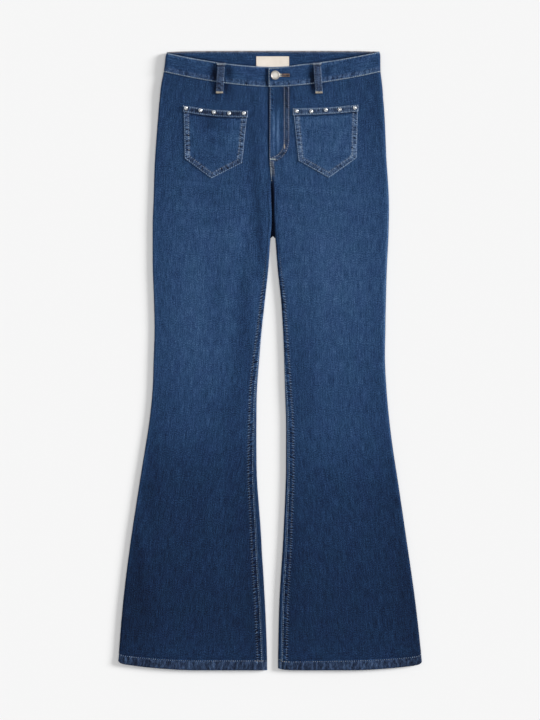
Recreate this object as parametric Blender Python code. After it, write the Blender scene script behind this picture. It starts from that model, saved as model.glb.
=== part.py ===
"""Bootcut jeans, fastened and laid flat, face up.

Frame: +X to the right of the laid garment, +Y towards the waist, +Z up. The origin is on the
surface that the garment lies on, under the middle of its outline. Left and right are the
sides as seen from above. Lengths are in millimetres until a mesh is made.

Each leg is a flattened tube. Its fold is a half circle at the outseam and at the inseam, the
back lies on the surface and the front lies on the back. A front and a back meet end to end
at the seams, a seam's gap apart.
"""

import math

import bmesh
import bpy

MM = 0.001
LEFT, RIGHT = -1, 1

# Walls
PANEL_WALL = 1.5
HEM_WALL = 2.3  # three layers, turned up twice
BAND_WALL = 2.2
POCKET_WALL = 1.3
BINDING_WALL = 1.2
LOOP_WALL = 1.8
TAPE_WALL = 1.0
LABEL_WALL = 0.7
SEAM_GAP = 0.3
PATCH_GAP = 0.35  # between a panel and what is sewn on it

# Heights above the surface
EDGE_HEIGHT = 6.4  # over a leg's folded edge
PUFF = 0.5  # how far the front rises inside its edges
WAIST_LIFT = 2.1  # the back rides up on its belt loops
LIFT_START, LIFT_FULL = 395, 495
BAND_TOP = 10.3
UNDERLAP_TOP = 7.8
HEM_RISE = 0.5
FLY_TUCK = 1.2  # how far the left front sinks to pass under the fly's edge
FLY_TUCK_REACH = 20
FLY_TUCK_START, FLY_TUCK_FULL = 318, 348
PUFF_REACH = 45  # over this distance from an edge the puff comes in
SEAT_START, LEGS_FULL = 345, 285  # the front is one surface above, two legs below
SMOOTH_START, FOLDS_FULL = 330, 280  # the seat lies smooth under the pockets
FOLD_CLEAR_OUTER, FOLD_CLEAR_INNER = 14, 10  # no fold this near an edge

PANEL_RADIUS = EDGE_HEIGHT / 2
BAND_RADIUS = (BAND_TOP - WAIST_LIFT) / 2
OUTSEAM_ANGLE = math.radians(30)  # above the fold's tip

# The outline: Y, then X of the left leg's outer and inner edge and of the right leg's inner
# and outer edge. Above the crotch both inner edges are the centre-front line.
OUTLINE = (
    # Y, left outer, left inner, right inner, right outer
    (548.0, -181.5, -3.5, -3.5, 193.8),
    (539.5, -184.3, -3.0, -3.0, 195.0),
    (525.0, -186.0, -2.5, -2.5, 195.2),
    (511.0, -188.0, -2.0, -2.0, 195.6),
    (483.0, -193.1, 0.0, 0.0, 198.8),
    (426.0, -198.4, 0.0, 0.0, 203.0),
    (355.0, -203.6, 0.0, 0.0, 206.0),
    (320.0, -205.0, 1.8, 1.8, 208.5),
    (284.5, -206.0, 1.7, 4.3, 210.3),
    (249.0, -207.4, 2.5, 6.1, 210.3),
    (221.0, -207.6, 1.1, 9.0, 209.6),
    (160.5, -207.3, -3.2, 13.8, 206.6),
    (107.5, -205.3, -8.9, 19.5, 205.1),
    (54.5, -204.3, -14.5, 22.8, 204.1),
    (1.5, -205.9, -19.6, 24.8, 203.4),
    (-52.0, -207.8, -23.4, 26.2, 206.2),
    (-105.0, -213.1, -24.2, 28.0, 211.0),
    (-158.0, -221.3, -24.2, 28.0, 217.7),
    (-211.0, -229.9, -23.4, 27.3, 225.9),
    (-317.5, -246.2, -15.8, 22.5, 241.6),
    (-423.5, -259.5, -8.7, 16.1, 256.7),
    (-530.0, -268.3, -5.3, 13.8, 268.5),
    (-548.0, -268.9, -5.0, 13.8, 269.0),
)
CENTRE_LINE = (
    # Y, X of the centre-front and centre-back seams
    (548.0, -3.5),
    (483.0, 0.0),
    (355.0, 0.0),
    (320.0, 1.8),
    (221.0, 5.1),
    (200.0, 5.1),
)
INSEAM = (
    # Y, left, right: the front's end, along the cloth from the top of the inner fold. It is
    # under the fold at the crotch, and the back wraps over the top towards the hem.
    (345.0, 0.0, 0.0),
    (330.0, 0.0, 0.0),
    (315.0, 1.6, 1.6),
    (300.0, 3.4, 3.4),
    (280.0, 5.2, 5.2),
    (250.0, 6.0, 6.0),
    (170.0, 6.0, 6.0),
    (100.0, 5.6, 5.9),
    (50.0, 4.6, 5.4),
    (10.0, 2.8, 4.2),
    (-40.0, 0.6, 2.2),
    (-90.0, -1.4, 0.4),
    (-180.0, -2.8, -1.1),
    (-300.0, -3.8, -2.4),
    (-420.0, -4.4, -3.4),
    (-550.0, -4.9, -3.2),
)
CROTCH_FOLDED = 250  # below this the front has its whole inner fold
BACK_CROTCH = 221.5  # where the back's two halves part
BACK_PARTING = 5.5  # the height over which they rise round the inner folds

# The hem's curve: it rises towards the outseam, and at the right leg's inseam too.
HEM_END = -547.4
HEM_DEPTH = 14.0
HEM_STEP = 4.0  # the height over which its extra layers end
HEM_CURVES = {
    LEFT: {"rise": 12.0, "reach": 140.0, "corner": 4.0, "inner": 0.0},
    RIGHT: {"rise": 10.0, "reach": 130.0, "corner": 4.0, "inner": 3.5},
}
HEM_CORNER_REACH = 4.0
HEM_INNER_REACH = 9.0
HEM_POWER = 1.8
HEM_FADE = 60.0
HEM_EDGE = 8.0  # how far the hem's step keeps off the leg's edges

# The waist: at the outseams, and how far the front's seam and top edge dip at the middle
WAIST_SIDE = 511.4
WAIST_DIP = 26.2
BAND_SIDE = 543.7
BAND_DIP = 23.5
WAIST_CENTRE = 1.8
WAIST_CURVE = 1.75
BACK_BAND_TOP = 548.2
BACK_BAND_DIP = 4.4
BACK_BAND_CURVE = 6
YOKE_SIDE = 467.0
YOKE_DIP = 30.0
DIP_FADE_END = 235.0

# Row heights at the outseam that front and back share
LEG_ROWS = (
    -534, -530, -490, -445, -400, -355, -310, -265, -220, -175, -130, -85, -40, 5, 50, 95,
    140, 180, 205, 216, BACK_CROTCH, 228, 245, 265, 285, 300, 315, 330, 355, 385, 415, 440,
)
YOKE_ROWS = (480, 495)

# Soft folds of the front, laid by hand
FOLDS = (
    # X and Y of the middle, degrees from upright, half length, half width, height
    (-47, 176, -5, 85, 11, -1.0),
    (-72, 190, -3, 80, 14, 0.7),
    (-34, 120, -8, 60, 10, 0.6),
    (-122, 110, 2, 120, 24, 0.5),
    (-98, -110, 3, 130, 22, 0.5),
    (-150, -260, 8, 120, 22, -0.5),
    (-62, -330, -4, 120, 20, 0.45),
    (-22, 268, -38, 34, 9, -0.6),
    (46, 132, 7, 70, 12, -0.9),
    (74, 200, 4, 80, 16, 0.6),
    (132, 60, -2, 120, 24, 0.5),
    (92, -90, -4, 130, 22, 0.5),
    (150, -300, -8, 120, 24, -0.5),
    (66, -340, 4, 110, 20, 0.45),
    (32, 262, 38, 34, 9, -0.5),
)
FOLD_LIMIT = 0.9  # no fold rises or sinks further than this

# Patch pockets: the outline's corners, clockwise from the top left
POCKETS = {
    "left": {
        "top_left": (-152.7, 450.6),
        "top_right": (-40.2, 441.0),
        "low_right": (-49.4, 350.0),
        "tip": (-103.5, 322.4),
        "low_left": (-150.8, 357.8),
        "mouth_dip": -3.2,
        "studs": ((-148.5, 446.5), (-122.8, 442.6), (-99.1, 439.2), (-72.0, 437.4), (-46.0, 437.4)),
    },
    "right": {
        "top_left": (41.4, 444.9),
        "top_right": (155.2, 451.5),
        "low_right": (153.1, 358.5),
        "tip": (104.1, 323.5),
        "low_left": (50.4, 353.9),
        "mouth_dip": -1.6,
        "studs": ((47.3, 441.3), (73.1, 440.8), (98.8, 443.3), (123.2, 444.0), (150.3, 447.0)),
    },
}
BINDING_HEIGHT = 11.5
BINDING_PAST = 0.9  # beyond the pocket at its mouth and sides
POCKET_HALF, POCKET_ROWS, BINDING_COLUMNS = 4, 8, 12

STUD_RADIUS = 3.1
STUD_HEIGHT = 1.9
STUD_RIM = 0.4
STUD_SIDES, STUD_STEPS = 12, 3

# Belt loops: X at the top and at the foot
LOOP_WIDTH = 12.8
FRONT_LOOPS = {"left": (-86.1, -89.4), "right": (82.9, 86.7)}
FRONT_LOOP_FOOT = 472.9
LOOP_STEPS = 14
FRONT_LOOP_LINE = (
    # down from the band's top edge, height of the underside over the surface
    (0.0, 10.65),
    (5.0, 11.3),
    (14.0, 12.4),
    (25.0, 12.5),
    (35.0, 11.6),
    (43.0, 9.9),
    (48.0, 9.3),
    (53.5, 9.2),
)
BACK_LOOPS = {"left": -86.0, "middle": 0.0, "right": 86.0}
BACK_LOOP_TOP, BACK_LOOP_FOOT = 547.6, 495.2

# The fly, behind the centre front
FLY_FOOT = 352.0
ZIP_EDGES = (1.0, 25.0)
SHIELD_EDGES = (-15.0, 35.0)
FLY_TOP = 484.6
FLY_COLUMNS, FLY_ROWS = 4, 9

# The front fastening
OVERLAP_END = -2.5
UNDERLAP_END = 28.0
UNDERLAP_SLOPE = 24.0
BUTTON_CENTRE = (9.3, 504.7)
BUTTON_RADIUS = 8.5
BUTTON_RIM = (
    # in from the radius, up from the cap's underside
    (0.8, 0.0),
    (0.0, 0.8),
    (0.1, 2.1),
    (1.0, 3.0),
    (2.0, 2.8),
    (2.6, 2.2),
)
BUTTON_FACE = 2.4
SHANK_RADIUS = 2.5
BUTTON_SIDES = 24
EYE_RADIUS = 3.25
SLIT_WIDTH = 1.0
SLIT_END = 33.0
EYE_STEPS = 16
CUTTER_PAST = 1.0

LABEL_EDGES = (-24.4, 33.6)
LABEL_TOP, LABEL_FOOT = 539.4, 513.0


# ---- curves and blends

def ease(t):
    t = min(max(t, 0.0), 1.0)
    return t * t * (3 - 2 * t)


def blend(a, b, t):
    return a + (b - a) * t


def read_table(rows, key, column):
    """A smooth curve through one column of a table, whose rows fall or rise in their key."""
    ordered = sorted(rows)
    if key <= ordered[0][0]:
        return ordered[0][column]
    if key >= ordered[-1][0]:
        return ordered[-1][column]
    i = max(n for n, row in enumerate(ordered[:-1]) if row[0] <= key)

    def slope(n):
        before, after = ordered[max(n - 1, 0)], ordered[min(n + 1, len(ordered) - 1)]
        return (after[column] - before[column]) / (after[0] - before[0])

    a, b = ordered[i], ordered[i + 1]
    width = b[0] - a[0]
    t = (key - a[0]) / width
    return (
        (1 + 2 * t) * (1 - t) ** 2 * a[column]
        + t * (1 - t) ** 2 * width * slope(i)
        + t * t * (3 - 2 * t) * b[column]
        + t * t * (t - 1) * width * slope(i + 1)
    )


# ---- the garment's form

def lift(y):
    return WAIST_LIFT * ease((y - LIFT_START) / (LIFT_FULL - LIFT_START))


def centre(y):
    return read_table(CENTRE_LINE, y, 1)


def reach(y, side):
    """The leg's outer and inner edges at this height, measured from X = 0 towards its side."""
    outer = read_table(OUTLINE, y, 1 if side == LEFT else 4)
    inner = read_table(OUTLINE, y, 2 if side == LEFT else 3)
    return side * outer, side * inner + SEAM_GAP / 2


def legness(y):
    """0 in the seat, where the front is one surface, and 1 where each leg has an inner fold."""
    return ease((SEAT_START - y) / (SEAT_START - LEGS_FULL))


def relief(x, y, side):
    """How far the front's outer face stands over the height of its folded edges."""
    outer, inner = reach(y, side)
    from_outer = outer - side * x
    from_inner = side * x - inner
    inner_puff, inner_clear = ease(from_inner / PUFF_REACH), ease(from_inner / FOLD_CLEAR_INNER)
    inside = ease(from_outer / PUFF_REACH) * blend(1, inner_puff, legness(y))
    clear = ease(from_outer / FOLD_CLEAR_OUTER) * blend(1, inner_clear, legness(y))
    folds = 0.0
    for fold_x, fold_y, turn, half_length, half_width, height in FOLDS:
        angle = math.radians(turn)
        across = (x - fold_x) * math.cos(angle) + (y - fold_y) * math.sin(angle)
        along = (y - fold_y) * math.cos(angle) - (x - fold_x) * math.sin(angle)
        folds += height * math.exp(-((across / half_width) ** 2) - (along / half_length) ** 2)
    folds *= ease((SMOOTH_START - y) / (SMOOTH_START - FOLDS_FULL))
    return PUFF * inside + max(-FOLD_LIMIT, min(folds, FOLD_LIMIT - PUFF)) * clear


def front_height(x, y, side):
    """The front's outer face, without the fly's tuck."""
    return EDGE_HEIGHT + lift(y) + relief(x, y, side)


def fly_tuck(x, y, side):
    if side == RIGHT:
        return 0.0
    share = ease((y - FLY_TUCK_START) / (FLY_TUCK_FULL - FLY_TUCK_START))
    return FLY_TUCK * (1 - ease((centre(y) - x) / FLY_TUCK_REACH)) * share


def hem_share(row):
    """1 in the turned-up hem and 0 above it."""
    return ease((HEM_END + HEM_DEPTH + HEM_STEP - row) / HEM_STEP)


def hem_lift(side, row, from_outer, from_inner):
    curve = HEM_CURVES[side]
    rise = curve["rise"] * max(1 - from_outer / curve["reach"], 0) ** HEM_POWER
    rise += curve["corner"] * math.exp(-max(from_outer, 0) / HEM_CORNER_REACH)
    rise += curve["inner"] * math.exp(-max(from_inner, 0) / HEM_INNER_REACH)
    return rise * (1 - ease((row - HEM_END) / HEM_FADE))


def over_fold(outer, end, radius, base, s, depth):
    """A wall that starts at the outseam, rises over the fold and runs inwards to end.

    s is the length along its outer face and depth is how far in from that face. It returns
    the distance from X = 0 towards the wall's side, the height, and where the run ends."""
    start = OUTSEAM_ANGLE + SEAM_GAP / 2 / radius
    arc = (math.pi / 2 - start) * radius
    if s < arc:
        angle = start + s / radius
        return (
            outer - radius + (radius - depth) * math.cos(angle),
            base + radius + (radius - depth) * math.sin(angle),
        )
    return max(outer - radius - (s - arc), end), base + 2 * radius - depth


def over_length(outer, end, radius):
    start = OUTSEAM_ANGLE + SEAM_GAP / 2 / radius
    return (math.pi / 2 - start) * radius + outer - radius - end


def under_fold(outer, end, radius, base, s, depth):
    """As over_fold, but the wall turns down under the fold and lies on the surface."""
    start = OUTSEAM_ANGLE - SEAM_GAP / 2 / radius
    arc = (math.pi / 2 + start) * radius
    if s < arc:
        angle = start - s / radius
        return (
            outer - radius + (radius - depth) * math.cos(angle),
            base + radius + (radius - depth) * math.sin(angle),
        )
    return max(outer - radius - (s - arc), end), base + depth


def under_length(outer, end, radius):
    start = OUTSEAM_ANGLE - SEAM_GAP / 2 / radius
    return (math.pi / 2 + start) * radius + outer - radius - end


def inseam_place(y, side):
    return read_table(INSEAM, y, 1 if side == LEFT else 2)


def front_run_end(y, side):
    """Where the front's flat run ends and its turn round the inner fold starts."""
    _, inner = reach(y, side)
    turned = inseam_place(y, side)
    if y < CROTCH_FOLDED:
        return inner + PANEL_RADIUS + max(SEAM_GAP / 2 - turned, 0)
    return inner + PANEL_RADIUS * math.sin(min(turned / PANEL_RADIUS, math.pi / 2))


def front_length(y, side):
    outer, _ = reach(y, side)
    turned = max(inseam_place(y, side) - SEAM_GAP / 2, 0)
    return over_length(outer, front_run_end(y, side), PANEL_RADIUS) + turned


def front_section(y, side, s, depth):
    """A point of a front, s along it from the outseam."""
    outer, _ = reach(y, side)
    end = front_run_end(y, side)
    base = lift(y)
    run = over_length(outer, end, PANEL_RADIUS)
    if s <= run:
        p, z = over_fold(outer, end, PANEL_RADIUS, base, s, depth)
    else:
        angle = (s - run) / PANEL_RADIUS
        p = end - (PANEL_RADIUS - depth) * math.sin(angle)
        z = base + PANEL_RADIUS + (PANEL_RADIUS - depth) * math.cos(angle)
    at = side * max(min(p, outer - PANEL_RADIUS), end)
    return p, z + relief(at, y, side) - fly_tuck(at, y, side)


def back_parts(y, side):
    """The back's run, its turn up the inner fold, and its run on over the top."""
    outer, inner = reach(y, side)
    seam = inseam_place(y, side) + SEAM_GAP / 2
    parted = ease((BACK_CROTCH - y) / BACK_PARTING)
    end = blend(side * centre(y) + SEAM_GAP / 2, inner + PANEL_RADIUS, parted)
    turn = parted * (math.pi * PANEL_RADIUS - max(seam, 0))
    return under_length(outer, end, PANEL_RADIUS), turn, max(-seam, 0) * parted, end


def back_length(y, side):
    run, turn, top, _ = back_parts(y, side)
    return run + turn + top


def back_section(y, side, s, depth):
    """A point of a back, s along it from the outseam."""
    outer, _ = reach(y, side)
    base = lift(y)
    run, turn, _, end = back_parts(y, side)
    if s <= run:
        return under_fold(outer, end, PANEL_RADIUS, base, s, depth)
    angle = min(s - run, turn) / PANEL_RADIUS
    p = end - (PANEL_RADIUS - depth) * math.sin(angle)
    z = base + PANEL_RADIUS - (PANEL_RADIUS - depth) * math.cos(angle)
    return p + max(s - run - turn, 0), z


def waist_share(x):
    """0 at the centre front and 1 at the outseams."""
    side = LEFT if x < WAIST_CENTRE else RIGHT
    outer, _ = reach(WAIST_SIDE, side)
    return min(side * (x - WAIST_CENTRE) / (outer - side * WAIST_CENTRE), 1)


def front_row(row, x, side):
    """The height of a front's row at this X: it dips with the waist and rises with the hem."""
    outer, inner = reach(row, side)
    fade = ease((row - DIP_FADE_END) / (WAIST_SIDE - DIP_FADE_END))
    dip = WAIST_DIP * fade * (1 - waist_share(x) ** WAIST_CURVE)
    return row - dip + hem_lift(side, row, outer - side * x, side * x - inner)


def back_row(row, x, side):
    """As front_row: the rows dip to the yoke's point at the centre back."""
    outer, inner = reach(row, side)
    if row > YOKE_SIDE:
        fade = (WAIST_SIDE - row) / (WAIST_SIDE - YOKE_SIDE)
    else:
        fade = ease((row - DIP_FADE_END) / (YOKE_SIDE - DIP_FADE_END))
    dip = YOKE_DIP * fade * (1 - waist_share(x))
    return row - dip + hem_lift(side, row, outer - side * x, side * x - inner)


# ---- meshes and materials

def linear(channel):
    value = channel / 255
    return value / 12.92 if value <= 0.04045 else ((value + 0.055) / 1.055) ** 2.4


def make_material(name, colour, roughness, metallic=0.0):
    material = bpy.data.materials.new(name)
    material.use_nodes = True
    shader = material.node_tree.nodes["Principled BSDF"]
    shader.inputs["Base Color"].default_value = (*map(linear, colour), 1)
    shader.inputs["Roughness"].default_value = roughness
    shader.inputs["Metallic"].default_value = metallic
    return material


def add_object(name, mesh, material):
    mesh.materials.append(material)
    mesh.shade_smooth()
    mesh.set_sharp_from_angle(angle=math.radians(35))
    made = bpy.data.objects.new(name, mesh)
    bpy.context.collection.objects.link(made)
    return made


def add_wall(name, outer, inner, material):
    """A closed wall between two grids of points of the same shape."""
    rows, columns = len(outer), len(outer[0])
    mesh = bmesh.new()
    faces = [
        [[mesh.verts.new([MM * value for value in point]) for point in line] for line in grid]
        for grid in (outer, inner)
    ]
    for face in faces:
        for i in range(rows - 1):
            for j in range(columns - 1):
                mesh.faces.new(
                    (face[i][j], face[i][j + 1], face[i + 1][j + 1], face[i + 1][j])
                )
    rim = [(0, j) for j in range(columns)]
    rim += [(i, columns - 1) for i in range(1, rows)]
    rim += [(rows - 1, j) for j in range(columns - 2, -1, -1)]
    rim += [(i, 0) for i in range(rows - 2, 0, -1)]
    for (i, j), (k, m) in zip(rim, rim[1:] + rim[:1]):
        mesh.faces.new((faces[0][i][j], faces[0][k][m], faces[1][k][m], faces[1][i][j]))
    bmesh.ops.recalc_face_normals(mesh, faces=mesh.faces)
    data = bpy.data.meshes.new(name)
    mesh.to_mesh(data)
    mesh.free()
    return add_object(name, data, material)


def spread(length, head, middle, tail):
    """Lengths along a section: close together at both ends, even between them."""
    first, last = head[-1], length - tail[0]
    inside = [blend(first, last, n / middle) for n in range(1, middle)]
    return [*head, *inside, *(length - distance for distance in tail)]


def add_panel(name, side, rows, section, length_of, row_of, columns, wall_of, rise_of, material):
    """A panel from its section at each row: outer face, inner face and rim."""
    outer, inner = [], []
    for row in rows:
        near, far = [], []
        for j, s in enumerate(spread(length_of(row, side), *columns)):
            p, _ = section(row, side, s, 0)
            y = row_of(row, side * p, side)
            s = spread(length_of(y, side), *columns)[j]
            for face, depth in ((near, 0.0), (far, wall_of(row))):
                p, z = section(y, side, s, depth)
                face.append((side * p, y, z + rise_of(row, side * p, side)))
        outer.append(near)
        inner.append(far)
    return add_wall(name, outer, inner, material)


def flat_grid(x_edges, y_edges, columns, rows):
    return [
        [(blend(*x_edges, m / columns), blend(*y_edges, n / rows)) for m in range(columns + 1)]
        for n in range(rows + 1)
    ]


def add_patch(name, grid, height, wall, material):
    """A plate on a surface: grid holds X and Y, and height gives its underside there."""
    inner = [[(x, y, height(x, y)) for x, y in line] for line in grid]
    outer = [[(x, y, z + wall) for x, y, z in line] for line in inner]
    return add_wall(name, outer, inner, material)


def add_turned(name, profile, sides, place, material):
    """A closed turned shape: profile holds radius and height, from the axis to the axis."""
    mesh = bmesh.new()
    rings = []
    for radius, z in profile:
        count = 1 if radius == 0 else sides
        rings.append(
            [
                mesh.verts.new(
                    (
                        MM * (place[0] + radius * math.cos(math.tau * n / sides)),
                        MM * (place[1] + radius * math.sin(math.tau * n / sides)),
                        MM * (place[2] + z),
                    )
                )
                for n in range(count)
            ]
        )
    for low, high in zip(rings, rings[1:]):
        for n in range(sides):
            corners = [low[n % len(low)], low[(n + 1) % len(low)]]
            corners += [high[(n + 1) % len(high)], high[n % len(high)]]
            mesh.faces.new(list(dict.fromkeys(corners)))
    bmesh.ops.recalc_face_normals(mesh, faces=mesh.faces)
    data = bpy.data.meshes.new(name)
    mesh.to_mesh(data)
    mesh.free()
    return add_object(name, data, material)


# ---- the pieces

# Columns across a piece: lengths from the outseam, how many spaces in the middle, and
# lengths from the other end
FRONT_COLUMNS = ((0.0, 1.6, 3.2, 9.0), 9, (8.0, 6.4, 4.8, 3.2, 1.6, 0.0))
BACK_COLUMNS = ((0.0, 2.2, 4.4, 6.7, 14.0), 3, (15.0, 12.9, 10.7, 8.6, 6.4, 4.3, 2.1, 0.0))
FRONT_BAND_COLUMNS = ((0.0, 2.2, 4.4, 16.0), 9, (34.0, 28.0, 22.0, 16.0, 8.0, 0.0))
BACK_BAND_COLUMNS = ((0.0, 2.9, 5.8, 8.6, 20.0), 5, (10.0, 0.0))
BAND_ROWS = 4
SETTLE_STEPS = 3


def panel_wall(row):
    return blend(PANEL_WALL, HEM_WALL, hem_share(row))


def front_rise(row, x, side):
    outer, inner = reach(row, side)
    inside = ease((outer - side * x) / HEM_EDGE) * ease((side * x - inner) / HEM_EDGE)
    return HEM_RISE * hem_share(row) * inside


def no_rise(_row, _x, _side):
    return 0.0


def add_fronts(denim):
    rows = (HEM_END, *LEG_ROWS, YOKE_SIDE, *YOKE_ROWS, WAIST_SIDE - SEAM_GAP)
    for word, side in (("left", LEFT), ("right", RIGHT)):
        add_panel(
            f"front_panel_{word}", side, rows, front_section, front_length, front_row,
            FRONT_COLUMNS, panel_wall, front_rise, denim,
        )


def add_backs(denim):
    leg = (HEM_END, *LEG_ROWS, YOKE_SIDE - SEAM_GAP / 2)
    yoke = (YOKE_SIDE + SEAM_GAP / 2, *YOKE_ROWS, WAIST_SIDE - SEAM_GAP)
    for word, side in (("left", LEFT), ("right", RIGHT)):
        for name, rows in ((f"back_panel_{word}", leg), (f"back_yoke_{word}", yoke)):
            add_panel(
                name, side, rows, back_section, back_length, back_row,
                BACK_COLUMNS, panel_wall, no_rise, denim,
            )


def band_edges(x):
    """The front waistband's lower and upper edges at this X."""
    share = 1 - waist_share(x) ** WAIST_CURVE
    return WAIST_SIDE - WAIST_DIP * share, BAND_SIDE - BAND_DIP * share


def underlap_drop(x):
    """The left band slopes down to pass under the right one."""
    slope = ease((x - (OVERLAP_END - 1 - UNDERLAP_SLOPE)) / UNDERLAP_SLOPE)
    return (BAND_TOP - UNDERLAP_TOP) * slope


def band_grid(side, end_at, fold, length_of, columns, edges, depth):
    """One half of a waistband: rows from its lower to its upper edge, columns from the outseam."""
    count = len(columns[0]) + columns[1] - 1 + len(columns[2])
    grid = []
    for n in range(BAND_ROWS):
        line = []
        for column in range(count):
            y = WAIST_SIDE
            for _ in range(SETTLE_STEPS):  # the outline and the band's curve settle together
                outer, _ = reach(y, side)
                end = end_at(y)
                s = spread(length_of(outer, end, BAND_RADIUS), *columns)[column]
                p, z = fold(outer, end, BAND_RADIUS, WAIST_LIFT, s, depth)
                y = blend(*edges(side * p), n / (BAND_ROWS - 1))
            line.append((side * p, y, z))
        grid.append(line)
    return grid


def add_front_bands(denim):
    left, right = [
        [
            band_grid(
                side, lambda y, end=end: end, over_fold, over_length,
                FRONT_BAND_COLUMNS, band_edges, depth,
            )
            for depth in (0.0, BAND_WALL)
        ]
        for side, end in ((LEFT, -UNDERLAP_END), (RIGHT, OVERLAP_END))
    ]
    left = [[[(x, y, z - underlap_drop(x)) for x, y, z in line] for line in grid] for grid in left]
    add_wall("waistband_front_left", *left, denim)
    cut_buttonhole(add_wall("waistband_front_right", *right, denim))


def cut_buttonhole(band):
    """A keyhole: a round eye for the shank and a slit away from the band's end."""
    half = SLIT_WIDTH / 2
    start = math.asin(half / EYE_RADIUS)
    outline = [(SLIT_END, BUTTON_CENTRE[1] + half)]
    for n in range(EYE_STEPS + 1):
        angle = blend(start, math.tau - start, n / EYE_STEPS)
        outline.append(
            (
                BUTTON_CENTRE[0] + EYE_RADIUS * math.cos(angle),
                BUTTON_CENTRE[1] + EYE_RADIUS * math.sin(angle),
            )
        )
    outline.append((SLIT_END, BUTTON_CENTRE[1] - half))
    mesh = bmesh.new()
    low, high = BAND_TOP - BAND_WALL - CUTTER_PAST, BAND_TOP + CUTTER_PAST
    base = [mesh.verts.new((MM * x, MM * y, MM * low)) for x, y in outline]
    face = mesh.faces.new(base)
    raised = bmesh.ops.extrude_face_region(mesh, geom=[face])["geom"]
    for item in raised:
        if isinstance(item, bmesh.types.BMVert):
            item.co.z = MM * high
    bmesh.ops.recalc_face_normals(mesh, faces=mesh.faces)
    data = bpy.data.meshes.new("buttonhole_cutter")
    mesh.to_mesh(data)
    mesh.free()
    cutter = bpy.data.objects.new("buttonhole_cutter", data)
    bpy.context.collection.objects.link(cutter)
    cutter.hide_render = True
    cutter.display_type = "WIRE"
    cut = band.modifiers.new("buttonhole", "BOOLEAN")
    cut.operation = "DIFFERENCE"
    cut.object = cutter


def back_band_edges(x):
    return WAIST_SIDE, BACK_BAND_TOP - BACK_BAND_DIP * waist_share(x) ** BACK_BAND_CURVE


def add_back_band(denim):
    """One strip from outseam to outseam, with its top edge almost straight."""
    grids = []
    for depth in (0.0, BAND_WALL):
        left, right = [
            band_grid(
                side, lambda y, side=side: side * centre(y), under_fold, under_length,
                BACK_BAND_COLUMNS, back_band_edges, depth,
            )
            for side in (LEFT, RIGHT)
        ]
        grids.append([a + b[-2::-1] for a, b in zip(left, right)])
    add_wall("waistband_back", *grids, denim)


def pocket_mouth(pocket, share):
    """The pocket's upper edge, share of the way from its left corner to its right one."""
    (x0, y0), (x1, y1) = pocket["top_left"], pocket["top_right"]
    dip = pocket["mouth_dip"] * math.sin(math.pi * share)
    return blend(x0, x1, share), blend(y0, y1, share) + dip


def pocket_grid(pocket):
    """X and Y over the patch: columns run from its pointed foot up to its mouth."""
    tip_share = (pocket["tip"][0] - pocket["low_left"][0]) / (
        pocket["low_right"][0] - pocket["low_left"][0]
    )
    shares = [tip_share * n / POCKET_HALF for n in range(POCKET_HALF)]
    shares += [blend(tip_share, 1, n / POCKET_HALF) for n in range(POCKET_HALF + 1)]
    grid = []
    for n in range(POCKET_ROWS + 1):
        line = []
        for share in shares:
            if share <= tip_share:
                ends, t = ("low_left", "tip"), share / tip_share
            else:
                ends, t = ("tip", "low_right"), (share - tip_share) / (1 - tip_share)
            foot = [blend(a, b, t) for a, b in zip(*(pocket[end] for end in ends))]
            mouth = pocket_mouth(pocket, share)
            line.append([blend(a, b, n / POCKET_ROWS) for a, b in zip(foot, mouth)])
        grid.append(line)
    return grid


def binding_grid(pocket):
    """X and Y over the binding, which covers the pocket's mouth and stands out past it."""
    grid = []
    for rise in (BINDING_PAST - BINDING_HEIGHT, BINDING_PAST - BINDING_HEIGHT / 2, BINDING_PAST):
        line = []
        for n in range(BINDING_COLUMNS + 1):
            x, y = pocket_mouth(pocket, n / BINDING_COLUMNS)
            line.append((x + BINDING_PAST * (2 * n / BINDING_COLUMNS - 1), y + rise))
        grid.append(line)
    return grid


def stud_profile():
    profile = [(0, 0), (STUD_RADIUS, 0)]
    for n in range(STUD_STEPS):
        angle = math.pi / 2 * n / STUD_STEPS
        rise = (STUD_HEIGHT - STUD_RIM) * math.sin(angle)
        profile.append((STUD_RADIUS * math.cos(angle), STUD_RIM + rise))
    return [*profile, (0, STUD_HEIGHT)]


def add_pockets(denim, metal):
    for (word, pocket), side in zip(POCKETS.items(), (LEFT, RIGHT)):
        def on_panel(x, y, side=side):
            return front_height(x, y, side) + PATCH_GAP

        def on_pocket(x, y, under=on_panel):
            return under(x, y) + POCKET_WALL + SEAM_GAP

        add_patch(f"pocket_{word}", pocket_grid(pocket), on_panel, POCKET_WALL, denim)
        add_patch(f"pocket_binding_{word}", binding_grid(pocket), on_pocket, BINDING_WALL, denim)
        for n, (x, y) in enumerate(pocket["studs"], 1):
            place = (x, y, on_pocket(x, y) + BINDING_WALL + SEAM_GAP)
            add_turned(f"stud_{word}_{n}", stud_profile(), STUD_SIDES, place, metal)


def add_belt_loops(denim):
    half = LOOP_WIDTH / 2
    for word, (top_x, foot_x) in FRONT_LOOPS.items():
        top = band_edges(top_x)[1]
        length = top - FRONT_LOOP_FOOT
        inner = []
        for n in range(LOOP_STEPS + 1):
            down = length * n / LOOP_STEPS
            x = blend(top_x, foot_x, n / LOOP_STEPS)
            z = read_table(FRONT_LOOP_LINE, down * FRONT_LOOP_LINE[-1][0] / length, 1)
            inner.append([(x + across, top - down, z) for across in (-half, 0, half)])
        outer = [[(x, y, z + LOOP_WALL) for x, y, z in line] for line in inner]
        add_wall(f"belt_loop_front_{word}", outer, inner, denim)
    for word, x in BACK_LOOPS.items():
        grid = flat_grid((x - half, x + half), (BACK_LOOP_FOOT, BACK_LOOP_TOP), 2, 2)
        add_patch(f"belt_loop_back_{word}", grid, lambda x, y: 0.0, LOOP_WALL, denim)


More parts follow.
